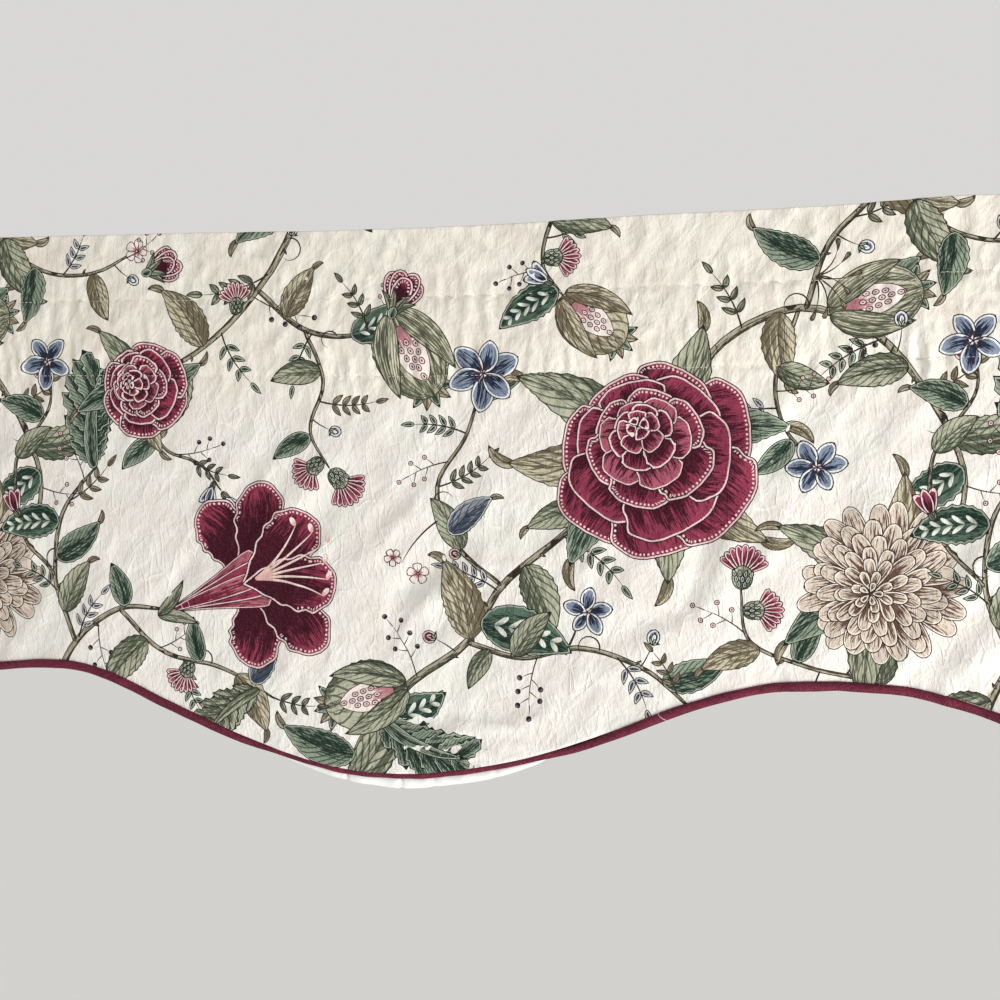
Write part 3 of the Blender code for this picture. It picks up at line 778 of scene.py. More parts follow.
dress(over_branch,
      (0.4, sprig, 160, 42, 3, 11, SAGE), (0.6, sprig, 20, 50, 4, 12, PINE),
      (0.8, berries, 190, 30, 5, 3.6), (0.2, curled_leaf, 200, 48, 22, FAWN, 30),
      (0.5, curled_leaf, -10, 46, 21, SAGE, -30), (0.95, feather_leaf, -150, 52, 26, 30),
      (0.98, seed_pod, -40, 58, FAWN), (0.9, bell, 150, 20, BLUE), (0.72, thistle, 0, 26))
dress(stem_branch,
      (0.2, curled_leaf, 100, 50, 23, SAGE, 30), (0.45, sprig, -100, 40, 3, 11, PINE),
      (0.55, leaf, 60, 38, 17, PINE, -25), (0.8, berries, 150, 34, 5, 4.0, PINK),
      (0.98, thistle, 84, 30), (0.9, thistle, 2, 27), (0.7, curled_leaf, 200, 44, 20, FAWN, 25),
      (0.35, closed_bud, 60, 8, WINE_SMALL), (0.1, sprig, -20, 40, 3, 11, MIST))
dress(corner_branch,
      (0.25, curled_leaf, -60, 56, 26, SAGE, 30), (0.45, curled_leaf, -100, 46, 21, PINE, -25),
      (0.6, sprig, 60, 36, 3, 11, MIST), (0.75, leaf, -70, 40, 18, FAWN, 25),
      (0.98, blossom, 0, 9.5), (0.86, closed_bud, -40, 8), (0.9, berries, 30, 30, 5, 3.8, PINK))

for heading, length, kind, bend in ((150, 112, SAGE, 25), (184, 104, FAWN, -30),
                                    (236, 102, PINE, 30), (278, 98, SAGE, -25),
                                    (322, 108, FAWN, 30), (8, 102, PINE, -30), (66, 96, SAGE, 25)):
    curled_leaf(-130 - 166j, heading, length, 38, kind, bend)
for heading, length, kind in ((20, 56, PINE), (128, 56, SAGE), (200, 58, PINE), (290, 54, FAWN)):
    curled_leaf(-520 - 118j, heading, length, 21, kind, 28)

star(-250 - 108j, 20, 27, 6)
star(-14 - 180j, 0, 21, 6)
star(low_fork(0.5) + 26j, 10, 18, 5)
blossom(-300 - 256j, 20, 8.5)
blossom(-318 - 244j, 50, 7.0)
twig(-284 - 216j, -130, 44, 30, 1.3)
wrapped_bud(-90 - 356j, 0, 36)
wrapped_bud(-318 - 62j, 66, 34)
wrapped_bud(-514 - 30j, 20, 30)
for heading, length, kind in ((150, 84, SAGE), (212, 80, PINE), (262, 84, SAGE), (80, 80, FAWN)):
    curled_leaf(30 - 262j, heading, length, 28, kind, 28)
chrysanthemum(30 - 262j, -150, 56)
trumpet(-426 - 262j, 20, 82)
peony(-520 - 118j, 70, 36)
peony(-130 - 166j, 20, 68)
peony(-150 + 60j, 40, 30)

# Sprays that come to lie on the turned-over strip at the back.
strip_branch = branch([(-394, 58), (-440, 76), (-492, 62), (-546, 80), (-596, 116)], 3.2)
strip_twig = branch([(-390, 24), (-356, 26), (-330, 48), (-326, 78)], 2.6)
dress(strip_branch,
      (0.22, leaf, -110, 38, 17, PINE, 25), (0.40, sprig, 104, 40, 3, 11, SAGE),
      (0.64, curled_leaf, -130, 46, 21, SAGE, 30), (0.80, berries, 30, 32, 4, 3.8),
      (0.52, thistle, -84, 26), (0.98, leaf, 150, 36, 17, FAWN), (0.3, tendril, 60, 26, 220))
dress(strip_twig,
      (0.4, leaf, -60, 36, 16, SAGE, 25), (0.7, leaf, 150, 34, 15, PINE, -25),
      (0.98, wrapped_bud, 84, 28), (0.55, sprig, 10, 36, 3, 10, MIST))
star(-448 + 104j, 10, 19, 5)
blossom(-290 + 92j, 10, 9)
blossom(-274 + 80j, 40, 7)

blades = [blade._replace(outline=blade.outline + k * REPEAT, inner=blade.inner + k * REPEAT,
                         spine=blade.spine + k * REPEAT)
          for k in (-1, 0, 1) for blade in blades]

# ---- Cutting and hanging the printed cloth --------------------------------------------
# The flat cloth is divided along the edges of the print, so that each face has one ink, then
# cut to its outline and hung: the printed skin, the plain wrong side, and the cut edge.
OPEN_PITCH = 6.6          # spacing of points where the cloth hangs free, in mm
SEWN_PITCH = 3.2          # the same along the header and pocket, for the puckers
BACK_PITCH = 4.6          # on the strip turned over to the back
INNER_PITCH = 10.0        # on the wrong side, which is covered
CLEAR_PITCH = 1.5         # least distance of such points from the lines of the print
MM = 0.001


def inside(places, outline):
    """Which places lie in an outline, by counting crossings."""
    start, end = outline, np.roll(outline, -1)
    level = places.imag[:, None]
    crosses = (start.imag > level) != (end.imag > level)
    rise = np.where(start.imag == end.imag, 1.0, end.imag - start.imag)
    at = start.real + (level - start.imag) * (end.real - start.real) / rise
    return (crosses & (places.real[:, None] < at)).sum(axis=1) % 2 == 1


side_x = 500 * WIDTH
bottom_x = np.linspace(-side_x, side_x, 441)
bottom = bottom_x + 1j * edge_height(bottom_x * MM) / MM
right_side = side_x + 1j * np.linspace(bottom[-1].imag, STRIP / MM, 120)[1:]
top = np.linspace(side_x, -side_x, 331)[1:] + 1j * STRIP / MM
left_side = -side_x + 1j * np.linspace(STRIP / MM, bottom[0].imag, 120)[1:-1]
cloth_outline = np.concatenate([bottom, right_side, top, left_side])


def fill_points(across, upward, low, high):
    rows = np.arange(low, high, upward)
    columns = np.arange(-side_x + 0.5 * across, side_x, across)
    offset = np.where(np.arange(len(rows)) % 2, 0.25, -0.25)[:, None] * across
    return (columns[None, :] + offset + 1j * rows[:, None]).ravel()


def row_points(heights, pitch):
    columns = np.arange(-side_x + 0.5 * pitch, side_x, pitch)
    return np.concatenate([columns + 1j * up for up in heights])


def sewn_points(rows, pitch):
    """Three lines of points along each row of stitching."""
    return row_points([row + step for row in rows for step in (-1.5, 0, 1.5)], pitch)


def cut_lines(heights, pitch):
    columns = np.linspace(-side_x, side_x, int(2 * side_x / pitch))
    return [columns + 1j * up for up in heights]


# What shows of each blade's outline, where no later blade covers it.
reach = abs(edge_height(LOWEST)) / MM + 5
blades = [b for b in blades if b.outline.real.max() > -side_x and b.outline.real.min() < side_x]
owner = np.concatenate([np.full(len(b.outline), k) for k, b in enumerate(blades)])
marks = np.concatenate([b.outline for b in blades])
inner_owner = np.concatenate([np.full(len(b.inner), k) for k, b in enumerate(blades)])
inner_marks = np.concatenate([b.inner for b in blades])
hidden, inner_hidden = ~inside(marks, cloth_outline), ~inside(inner_marks, cloth_outline)
for k, blade in enumerate(blades):
    for places, owners, out in ((marks, owner, hidden), (inner_marks, inner_owner, inner_hidden)):
        maybe = np.flatnonzero((owners < k) & ~out & in_box(places, blade.outline))
        if len(maybe):
            out[maybe[inside(places[maybe], blade.outline)]] = True
starts = np.searchsorted(owner, np.arange(len(blades)))
following = np.arange(1, len(marks) + 1)
following[np.append(starts[1:], len(marks)) - 1] = starts
keep_line = ~(hidden & hidden[following])
used = keep_line | np.isin(np.arange(len(marks)), following[keep_line])
number = np.cumsum(used) - 1
lines = np.stack([number[keep_line], number[following[keep_line]]], axis=1)
points = [marks[used], inner_marks[~inner_hidden]]

fold_rows = cut_lines([-1.2, -0.6, 0.0, 0.6, 1.2], 5.0)
middle_line = 1j * np.linspace(edge_height(0.0) / MM, STRIP / MM, 90)
for line in [cloth_outline, *fold_rows, middle_line]:
    first = sum(len(p) for p in points)
    ring = np.arange(first, first + len(line))
    pairs = np.stack([ring, np.roll(ring, -1)], axis=1)
    lines = np.concatenate([lines, pairs if line is cloth_outline else pairs[:-1]])
    points.append(line)

header_row, pocket_row = -HEADER / MM, -(HEADER + POCKET) / MM
back_row = (HEADER + POCKET_BACK) / MM
near_edge = [bottom + 1j * lift for lift in (0.6, 1.4, 2.6)]
fill = np.concatenate([
    row_points([-3.0, 3.0], 5.0), *near_edge,
    sewn_points((header_row, pocket_row), SEWN_PITCH),
    sewn_points((-header_row, back_row), BACK_PITCH),
    fill_points(SEWN_PITCH, 5.2, pocket_row - 22, pocket_row - 3),
    fill_points(SEWN_PITCH, 5.2, pocket_row + 5, header_row - 3),
    fill_points(SEWN_PITCH, 5.2, header_row + 5, header_row + 16),
    fill_points(OPEN_PITCH, OPEN_PITCH, -reach, pocket_row - 26),
    fill_points(OPEN_PITCH, OPEN_PITCH, header_row + 20, -6),
    fill_points(BACK_PITCH, 6.4, 7, STRIP / MM - 2),
])
fill = fill[inside(fill, cloth_outline)]


def nearest(among, places):
    """For each place: which of some others is nearest, and how far it is."""
    tree = kdtree.KDTree(len(among))
    for k, place in enumerate(among):
        tree.insert((place.real, place.imag, 0), k)
    tree.balance()
    found = [tree.find((place.real, place.imag, 0)) for place in places]
    return np.array([one[1] for one in found]), np.array([one[2] for one in found])


_, distance = nearest(np.concatenate(points), fill)
points.append(fill[distance > CLEAR_PITCH])
points = np.concatenate(points)


def divide(points, lines, outline):
    """The flat cloth in triangles, kept where they lie in an outline, and its edge in order."""
    found = delaunay_2d_cdt([Vector((p.real, p.imag)) for p in points],
                            [(int(a), int(b)) for a, b in lines], [], 0, 0.02, False)
    places = np.array([complex(*v) for v in found[0]])
    faces = np.array(found[2])
    faces = faces[inside(places[faces].mean(axis=1), outline)]
    used, numbers = np.unique(faces, return_inverse=True)
    places, faces = places[used], numbers.reshape(faces.shape)
    pairs = np.concatenate([faces[:, [0, 1]], faces[:, [1, 2]], faces[:, [2, 0]]])
    shared = np.isin(pairs @ [len(places), 1], pairs @ [1, len(places)])
    after = dict(pairs[~shared].tolist())
    ring = [min(after)]
    while after[ring[-1]] != ring[0]:
        ring.append(after[ring[-1]])
    return places, faces, np.array(ring)


places, faces, outer_ring = divide(points, lines, cloth_outline)
middle = places[faces].mean(axis=1)

topmost = np.full(len(faces), -1)
for k, blade in enumerate(blades):
    maybe = np.flatnonzero(in_box(middle, blade.outline))
    if len(maybe):
        topmost[maybe[inside(middle[maybe], blade.outline)]] = k

inner_fill = np.concatenate([
    fill_points(INNER_PITCH, INNER_PITCH, -reach, pocket_row - 22),
    fill_points(SEWN_PITCH, 7.2, pocket_row - 18, header_row + 18),
    fill_points(INNER_PITCH, INNER_PITCH, header_row + 22, -4),
    row_points([-1.2, 0.0, 1.2], 6.0), fill_points(5.6, 7.2, 6, STRIP / MM - 4),
    sewn_points((header_row, pocket_row, -header_row, back_row), SEWN_PITCH)])
from_edge = np.abs(inner_fill.real) < side_x - 3
low_enough = inner_fill.imag > edge_height(inner_fill.real * MM) / MM + 3
inner_fill = inner_fill[from_edge & low_enough]
rim = np.arange(len(outer_ring))
inner_places, inner_faces, _ = divide(np.concatenate([places[outer_ring], inner_fill]),
                                      np.stack([rim, np.roll(rim, -1)], axis=1),
                                      places[outer_ring])
inner_ring, _ = nearest(inner_places, places[outer_ring])


def air(places, inward=0.0):
    return hang(places.real * MM, places.imag * MM, inward * MM)


def air_normals(places, inward=0.0):
    step = 0.15
    across = air(places + step, inward) - air(places - step, inward)
    up = air(places + 1j * step, inward) - air(places - 1j * step, inward)
    normal = np.cross(across, up)
    return normal / np.linalg.norm(normal, axis=1, keepdims=True)


outer_count, skin = len(places), THICKNESS / MM
next_outer, next_inner = np.roll(outer_ring, -1), np.roll(inner_ring, -1)
rim_faces = np.concatenate([
    np.stack([next_outer, outer_ring, inner_ring + outer_count], axis=1),
    np.stack([next_outer, inner_ring + outer_count, next_inner + outer_count], axis=1)])
all_places = np.concatenate([places, inner_places])
all_faces = np.concatenate([faces, rim_faces, inner_faces[:, ::-1] + outer_count])
vertices = np.concatenate([air(places), air(inner_places, skin)])

face_count, outer_faces = len(all_faces), len(faces)
blade_of = np.full(face_count, -1)
blade_of[:outer_faces] = topmost
corners = all_faces.ravel()
corner_place = all_places[corners]
corner_blade = np.repeat(blade_of, 3)
place_data, path_data = np.zeros((2, len(corners), 3))
order = np.argsort(corner_blade, kind="stable")
edges_of = np.searchsorted(corner_blade[order], np.arange(len(blades) + 1))
for k, blade in enumerate(blades):
    mine = order[edges_of[k]:edges_of[k + 1]]
    if not len(mine):
        continue
    spots = corner_place[mine]
    away, run, side = to_line(spots, blade.spine)
    even = np.linspace(0, 1, len(blade.spine))
    u = np.interp(run, lengths_along(blade.spine), even)
    half = np.maximum(np.interp(u, even, blade.half_widths), 0.3)
    edge, arc_run, _ = to_line(spots, np.append(blade.outline, blade.outline[0]))
    place_data[mine] = np.stack([u, np.clip(side * away / half, -1, 1), edge], axis=1)
    path_data[mine] = np.stack([arc_run, run + 7 * blade.seed, side * away], axis=1)


def new_mesh(name, vertices, faces):
    """A smooth mesh with a chart for baking, and for each corner its vertex and its face."""
    mesh = bpy.data.meshes.new(name)
    mesh.from_pydata(vertices.reshape(-1, 3).tolist(), [], faces)
    mesh.shade_smooth()
    mesh.uv_layers.new(name="OFBake")
    vertex = np.zeros(len(mesh.loops), int)
    mesh.loops.foreach_get("vertex_index", vertex)
    return mesh, vertex, np.repeat(np.arange(len(faces)), [len(one) for one in faces])


def set_chart(mesh, across, up):
    mesh.uv_layers["OFBake"].data.foreach_set("uv", np.stack([across, up], axis=-1).ravel())


def add_attribute(mesh, name, domain, values):
    data = mesh.attributes.new(name, "FLOAT_VECTOR", domain).data
    data.foreach_set("vector", np.ascontiguousarray(values, dtype=np.float32).ravel())


cloth_mesh, _, _ = new_mesh("face_panel", vertices, all_faces.tolist())
inks = sorted({blade.ink for blade in blades})
ink_of = np.array([inks.index(blade.ink) for blade in blades] + [len(inks)])[blade_of]
plain = ink(*[(232, 226, 214)] * 3)
for name in ("dark", "light", "line", "rim", "tone", "turn", "vein", "trim"):
    rows = np.array([getattr(one, name) for one in [*inks, plain]])
    add_attribute(cloth_mesh, name, "FACE", rows[ink_of])
ribs = np.array([one.rib for one in [*inks, plain]])[ink_of]
seeds = np.array([blade.seed for blade in blades] + [0.0])[blade_of]
add_attribute(cloth_mesh, "other", "FACE", np.stack([ribs, seeds, blade_of >= 0], axis=1))
add_attribute(cloth_mesh, "place", "CORNER", place_data)
add_attribute(cloth_mesh, "path", "CORNER", path_data)

# Charts: left half over right half of the printed side, and the wrong side turned beside them.
tall = STRIP / MM + reach
sheet_size = 2 * tall + 4
left_half = np.repeat(all_places[all_faces].mean(axis=1).real < 0, 3)
chart_x = np.where(left_half, corner_place.real + side_x, corner_place.real)
chart_y = corner_place.imag + reach + np.where(left_half, tall + 2, 0)
wrong_side = np.repeat(np.arange(face_count) >= outer_faces, 3)
squeeze = (sheet_size - side_x - 6) / tall
chart_x = np.where(wrong_side, side_x + 4 + (corner_place.imag + reach) * squeeze, chart_x)
chart_y = np.where(wrong_side, (side_x - corner_place.real) * squeeze, chart_y)
set_chart(cloth_mesh, chart_x / sheet_size, chart_y / sheet_size)
normals = np.concatenate([air_normals(places), -air_normals(inner_places, skin)])
cloth_mesh.validate()
cloth_mesh.normals_split_custom_set_from_vertices(normals)


def add_object(name, data):
    thing = bpy.data.objects.new(name, data)
    bpy.context.collection.objects.link(thing)
    return thing


face_panel = add_object("face_panel", cloth_mesh)


class Signal:
    """A number or colour in a node tree. Sums and comparisons add the Math nodes they need."""

    def __init__(self, tree, socket):
        self.tree, self.socket = tree, socket

    def math(self, operation, *values):
        return self.tree.add("ShaderNodeMath", {"operation": operation}, dict(enumerate(values)))

    def __add__(self, other): return self.math("ADD", self, other)
    def __radd__(self, other): return self.math("ADD", other, self)
    def __sub__(self, other): return self.math("SUBTRACT", self, other)
    def __rsub__(self, other): return self.math("SUBTRACT", other, self)
    def __mul__(self, other): return self.math("MULTIPLY", self, other)
    def __rmul__(self, other): return self.math("MULTIPLY", other, self)
    def __truediv__(self, other): return self.math("DIVIDE", self, other)
    def __rtruediv__(self, other): return self.math("DIVIDE", other, self)
    def __gt__(self, other): return self.math("GREATER_THAN", self, other)
    def __lt__(self, other): return self.math("LESS_THAN", self, other)
    def __abs__(self): return self.math("ABSOLUTE", self)

    def larger(self, other): return self.math("MAXIMUM", self, other)
    def wave(self, span): return self.math("PINGPONG", self, span)
    def root(self): return self.math("POWER", self, 0.5)
    def fraction(self): return self.math("FRACT", self)
    def sine(self): return self.math("SINE", self)

    def ramp(self, low, high):
        """0 at low to 1 at high, with soft ends; low may be the higher of the two."""
        return self.tree.add("ShaderNodeMapRange", {"interpolation_type": "SMOOTHSTEP"},
                             {"Value": self, "From Min": low, "From Max": high})


class Nodes:
    """A node tree under way."""

    def __init__(self, tree):
        self.tree = tree

    def put(self, socket, value):
        if isinstance(value, Signal):
            self.tree.links.new(value.socket, socket)
        elif socket.type == "RGBA":
            socket.default_value = (*value, 1.0)
        else:
            socket.default_value = value

    def add(self, kind, settings=None, inputs=None, output=0):
        """One node: its settings first, then its inputs, and the output that is asked for."""
        node = self.tree.nodes.new(kind)
        for name, value in (settings or {}).items():
            setattr(node, name, value)
        for name, value in (inputs or {}).items():
            self.put(node.inputs[name], value)
        return Signal(self, node.outputs[output]) if len(node.outputs) else None

    def vector(self, x=0.0, y=0.0, z=0.0):
        return self.add("ShaderNodeCombineXYZ", {}, {"X": x, "Y": y, "Z": z})

    def parts(self, vector):
        return [self.add("ShaderNodeSeparateXYZ", {}, {0: vector}, axis) for axis in "XYZ"]


class Finish(Nodes):
    """A material under way, with its shader, the surface colour and bump."""

    def __init__(self, name):
        self.material = bpy.data.materials.new(name)
        self.material.use_nodes = True
        super().__init__(self.material.node_tree)
        self.place = self.add("ShaderNodeTexCoord", output="Object")

    def attribute(self, name):
        return self.add("ShaderNodeAttribute", {"attribute_name": name}, output="Vector")

    def mix(self, share, first, second):
        return self.add("ShaderNodeMix", {"data_type": "RGBA"},
                        {"Factor": share, 6: first, 7: second}, output=2)

    def noise(self, vector, scale=1.0, detail=2.0, roughness=0.5, distortion=0.0):
        return self.add("ShaderNodeTexNoise", {}, {
            "Vector": vector, "Scale": scale, "Detail": detail, "Roughness": roughness,
            "Distortion": distortion})

    def bump(self, height, depth):
        """A bump of so many metres for a height of 1."""
        return self.add("ShaderNodeBump", {}, {"Height": height, "Distance": depth, "Strength": 1.0})

    def surface(self, **values):
        for name, value in values.items():
            name = name.replace("_", " ").title().replace("Ior", "IOR")
            self.put(self.tree.nodes["Principled BSDF"].inputs[name], value)


def cotton_ground(cotton):
    """The unprinted cream of the cloth, creased and faintly figured, with painted highlights along
    its creases and painted light on its lower part; and the cloth's own bump.
    """
    vector, noise, mix = cotton.vector, cotton.noise, cotton.mix
    x, y, z = cotton.parts(cotton.place)
    across, along = x * 0.80 - z * 0.60, x * 0.60 + z * 0.80
    flat = vector(x * 1000, z * 1000, y * 300)
    sewn = z.ramp(-HEADER - POCKET - 0.050, -HEADER - POCKET + 0.010)
    broad = noise(vector(across * 96, along * 40, y * 40), 1.0, 3.0, 0.52, 0.7)
    upright = noise(vector(x * 150, z * 46, y * 40), 1.0, 3.0, 0.52, 0.7)
    brief = noise(vector(x * 400 + z * 60, z * 105, y * 40), 1.0, 2.0, 0.55, 0.8)
    bent = noise(flat, 0.030) - 0.5
    web = cotton.add("ShaderNodeTexVoronoi", {"feature": "DISTANCE_TO_EDGE"}, {
        "Vector": vector(x * 82 + z * 12 + bent * 1.2, z * 34 + bent * 0.9), "Scale": 1.0})
    creased = noise(vector(x * 34, z * 22, 4.0)).ramp(0.42, 0.56)
    crease = web.ramp(0.07, 0.0) * creased * (1.0 - sewn * 0.6)
    crinkle = broad * 1.05 + upright * sewn * 0.55 + brief * (0.55 - sewn * 0.15) + crease * 0.20
    swirl_at = noise(flat, 0.020, 3.0, 0.55, 1.2)
    figure = noise(vector(swirl_at * 5.0, x * 9, z * 13), 4.0, 3.0, 0.5, 0.8).ramp(0.45, 0.55)
    cloudy = noise(flat, 0.016, 3.0)
    patchy = noise(flat, 0.050, 4.0, 0.6)
    slubs = (noise(vector(x * 1500, z * 260), 1.0, 1.0) + noise(vector(x * 260, z * 1500), 1.0, 1.0))
    base = mix(sewn, rgb(242, 239, 233), rgb(239, 233, 221))
    # Painted light: the lower part of the cloth is painted lighter, more so towards the bottom.
    base = mix(z.ramp(-0.26, -0.38), base, rgb(247, 245, 240))
    base = mix(figure * 0.22 + cloudy.ramp(0.35, 0.7) * 0.3, base, rgb(230, 222, 210))
    base = mix(patchy.ramp(0.45, 0.75) * 0.38, base, rgb(230, 214, 203))
    base = mix(cloudy.ramp(0.55, 0.35) * 0.4, base, rgb(236, 239, 226))
    # Paler along the crease lines, a painted highlight, and in random paler patches.
    base = mix(crease * 0.55 + patchy.ramp(0.5, 0.25) * 0.3, base, rgb(252, 250, 244))
    base = mix((slubs - 0.8).ramp(0.0, 0.45) * 0.12, base, rgb(206, 196, 182))
    threads = (x * 2 * pi / 0.00055).sine() + (z * 2 * pi / 0.00060).sine()
    return base, crinkle + threads * 0.010 + figure * 0.02


cotton = Finish("printed_cotton")
mix, attribute = cotton.mix, cotton.attribute
ground, height = cotton_ground(cotton)
u, v, edge = cotton.parts(attribute("place"))
arc_run, run, across = cotton.parts(attribute("path"))
start, by_length, by_width = cotton.parts(attribute("tone"))
side_shade, streaks, softness = cotton.parts(attribute("turn"))
veins_along, veins_across, vein_share = cotton.parts(attribute("vein"))
rim_width, dot_pitch, line_width = cotton.parts(attribute("trim"))
rib_width, seed, printed = cotton.parts(attribute("other"))
line_colour, rim_colour = attribute("line"), attribute("rim")

streak = cotton.noise(cotton.vector(v * 7.0, u * 1.0, seed), 1.0, 3.0, 0.65) - 0.5
grain = cotton.noise(cotton.vector(across * 1.1, run * 0.11, seed)) - 0.5
light = start + u * by_length + abs(v) * by_width + v * side_shade * 0.5
light = light + (streak * 2.0 + grain * 2.0) * streaks
shade = light.ramp(0.5 - softness * 0.5, 0.5 + softness * 0.5)
fill = mix(shade, attribute("dark"), attribute("light"))
vein_at = (u * veins_along + abs(v) * veins_across + 20.0).wave(0.5) * 2.0
in_vein = (vein_share * 2.0 - vein_at).ramp(-0.06, 0.06) * (vein_share > 0.001)
in_rib = (rib_width - abs(across)).ramp(-0.12, 0.12) * (rib_width > 0.01)
fill = mix(in_vein.larger(in_rib) * 0.75, fill, line_colour)
in_rim = (rim_width + line_width + grain * 0.9 * rim_width - edge).ramp(-0.12, 0.12)
fill = mix(in_rim * (rim_width > 0.01), fill, rim_colour)
dot_x = ((arc_run / dot_pitch.larger(1.0)).fraction() - 0.5) * dot_pitch
dot_y = edge - rim_width - line_width - 1.7
dot = (0.85 - (dot_x * dot_x + dot_y * dot_y).root()).ramp(-0.15, 0.15) * (dot_pitch > 0.5)
fill = mix(dot * (u > 0.6), fill, rim_colour)
in_line = (line_width + grain * 0.35 - edge).ramp(-0.1, 0.1)
fill = mix(in_line, fill, line_colour)
worn = cotton.noise(cotton.place, 900.0).ramp(0.45, 0.85) * 0.05
fill = mix(worn, fill, ground)
cotton.surface(base_color=mix(printed, ground, fill), roughness=0.86, sheen_weight=0.02,
               specular_ior_level=0.08, normal=cotton.bump(height, 0.0017))
cloth_mesh.materials.append(cotton.material)

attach(face_panel, "root")
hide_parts("face_cloth")
flat_area = float((STRIP - edge_height(bottom_x * MM)).mean() * WIDTH)
STRIP + abs(edge_height(LOWEST))

# ---- The two rows of stitching -------------------------------------------------------
# Straight machine stitches in cream cotton thread, through both layers of the header and of
# the strip behind the pocket, so that each row shows on the front and on the back.
STITCH = 0.0027
STITCH_PITCH = 0.0033
THREAD = 0.00040          # the thread's thickness
STITCH_LIFT = 0.00012     # how far its middle stands off the cloth
rows_of_stitches = [-HEADER, -HEADER - POCKET, HEADER, HEADER + POCKET_BACK]


def stitch_paths(heights, spacing):
    """Lines on the cloth, one along each row, with the direction that faces out of it."""
    along = np.arange(-0.5 * WIDTH + 0.002, 0.5 * WIDTH - 0.002, spacing)
    flat = (along + 1j * np.array(heights)[:, None]).ravel() / MM
    outward = air_normals(flat)
    edges = [(k, k + 1) for k in range(len(flat) - 1) if (k + 1) % len(along)]
    mesh = bpy.data.meshes.new("row_stitches")
    mesh.from_pydata((air(flat) + STITCH_LIFT * outward).tolist(), edges, [])
    add_attribute(mesh, "outward", "POINT", outward)
    return mesh


def stitch_tree(material):
    """Geometry Nodes: one arched stitch after another along every line, at an even pitch."""
    group = bpy.data.node_groups.new("straight_stitches", "GeometryNodeTree")
    group.interface.new_socket("Geometry", in_out="INPUT", socket_type="NodeSocketGeometry")
    for name, value in (("Pitch", STITCH_PITCH), ("Length", STITCH), ("Thickness", THREAD)):
        group.interface.new_socket(name, in_out="INPUT",
                                   socket_type="NodeSocketFloat").default_value = value
    group.interface.new_socket("Geometry", in_out="OUTPUT", socket_type="NodeSocketGeometry")
    add = Nodes(group).add

    guide, pitch, length, thickness = (
        add("NodeGroupInput", output=name) for name in ("Geometry", "Pitch", "Length", "Thickness"))
    lines = add("GeometryNodeMeshToCurve", {}, {"Mesh": guide})
    even = add("GeometryNodeResampleCurve", {"mode": "LENGTH"}, {"Curve": lines, "Length": pitch})
    outward = add("GeometryNodeInputNamedAttribute", {"data_type": "FLOAT_VECTOR"},
                  {"Name": "outward"})
    turn = add("FunctionNodeAxesToRotation", {"primary_axis": "X", "secondary_axis": "Z"},
               {"Primary Axis": add("GeometryNodeInputTangent"), "Secondary Axis": outward})
    bar = add("GeometryNodeMeshCylinder", {"fill_type": "NGON"},
              {"Vertices": 6, "Side Segments": 6, "Radius": 0.5, "Depth": 1.0})
    x, y, z = Nodes(group).parts(add("GeometryNodeInputPosition"))
    bow = 1.0 - 4.0 * z * z
    thick = (bow * 0.55 + 0.45) * thickness
    place = Nodes(group).vector(z * length, x * thick, y * thick + (bow - 1.0) * thickness)
    stitch = add("GeometryNodeSetPosition", {}, {"Geometry": bar, "Position": place})
    many = add("GeometryNodeInstanceOnPoints", {},
               {"Points": even, "Instance": stitch, "Rotation": turn})
    solid = add("GeometryNodeRealizeInstances", {}, {"Geometry": many})
    finished = add("GeometryNodeSetMaterial", {}, {"Geometry": solid, "Material": material})
    add("NodeGroupOutput", {}, {"Geometry": finished})
    return group


thread = Finish("cream_thread")
lustre = thread.noise(thread.place, 2400.0)
thread.surface(base_color=thread.mix(lustre.ramp(0.3, 0.7), rgb(240, 234, 218), rgb(222, 213, 194)),
               roughness=0.6, normal=thread.bump(lustre, 0.00008))

guide = add_object("stitch_guide", stitch_paths(rows_of_stitches, 0.0011))
sewing = guide.modifiers.new("sewing", "NODES")
sewing.node_group = stitch_tree(thread.material)
for item in sewing.node_group.interface.items_tree:
    if item.in_out == "INPUT" and item.socket_type == "NodeSocketFloat":
        sewing[item.identifier] = item.default_value
sewn = guide.evaluated_get(bpy.context.evaluated_depsgraph_get())
row_stitches = add_object("row_stitches", bpy.data.meshes.new_from_object(sewn))
bpy.data.objects.remove(guide)
row_stitches.data.shade_smooth()
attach(row_stitches, "root")

# ---- The lining ----------------------------------------------------------------------
# A plain white cotton sheet behind the face, from the turned-down strip to the covered cord.
# It is sewn into the seam with the cord, and at the left lobe it hangs a little long, so that
# a soft rolled edge of it shows below the cord.
LINING_TOP = -HEADER - POCKET - HEM - 0.0003
LINING_CLOTH = 0.0010
LINING_GAP = 0.0006       # clear of the face cloth's wrong side
CORD_RADIUS = 0.0033
# How far the lining shows below the cord: place along it, and height that shows.
PEEK = [(-0.440, -0.0010), (-0.423, 0.0000), (-0.380, 0.0036), (-0.345, 0.0056), (-0.313, 0.0074),
        (-0.280, 0.0066), (-0.245, 0.0060), (-0.215, 0.0030), (-0.194, 0.0000), (-0.178, -0.0010)]
PEEK_START, PEEK_END = PEEK[0][0], PEEK[-1][0]
TUCK_RUN = 0.035          # the cord is pushed up and back over this length where that begins
TUCK_LIFT = 0.0022
TUCK_BACK = 0.0041
LINING_BEND = 0.70
LINING_BEND_RUN = 0.22
ROLL_DEPTH = 0.0027       # half the roll's depth, front to back
ROLL_TURN = 1.30 * pi     # how far round it the cloth turns, up its front to under the cord
Crease = namedtuple("Crease", "x width depth")
ROLL_CREASES = [Crease(-0.3555, 0.0013, 0.55), Crease(-0.3135, 0.0016, 0.42),
                Crease(-0.2890, 0.0030, 0.16), Crease(-0.3850, 0.0040, 0.18),
                Crease(-0.2420, 0.0026, 0.20), Crease(-0.3370, 0.0050, 0.12)]
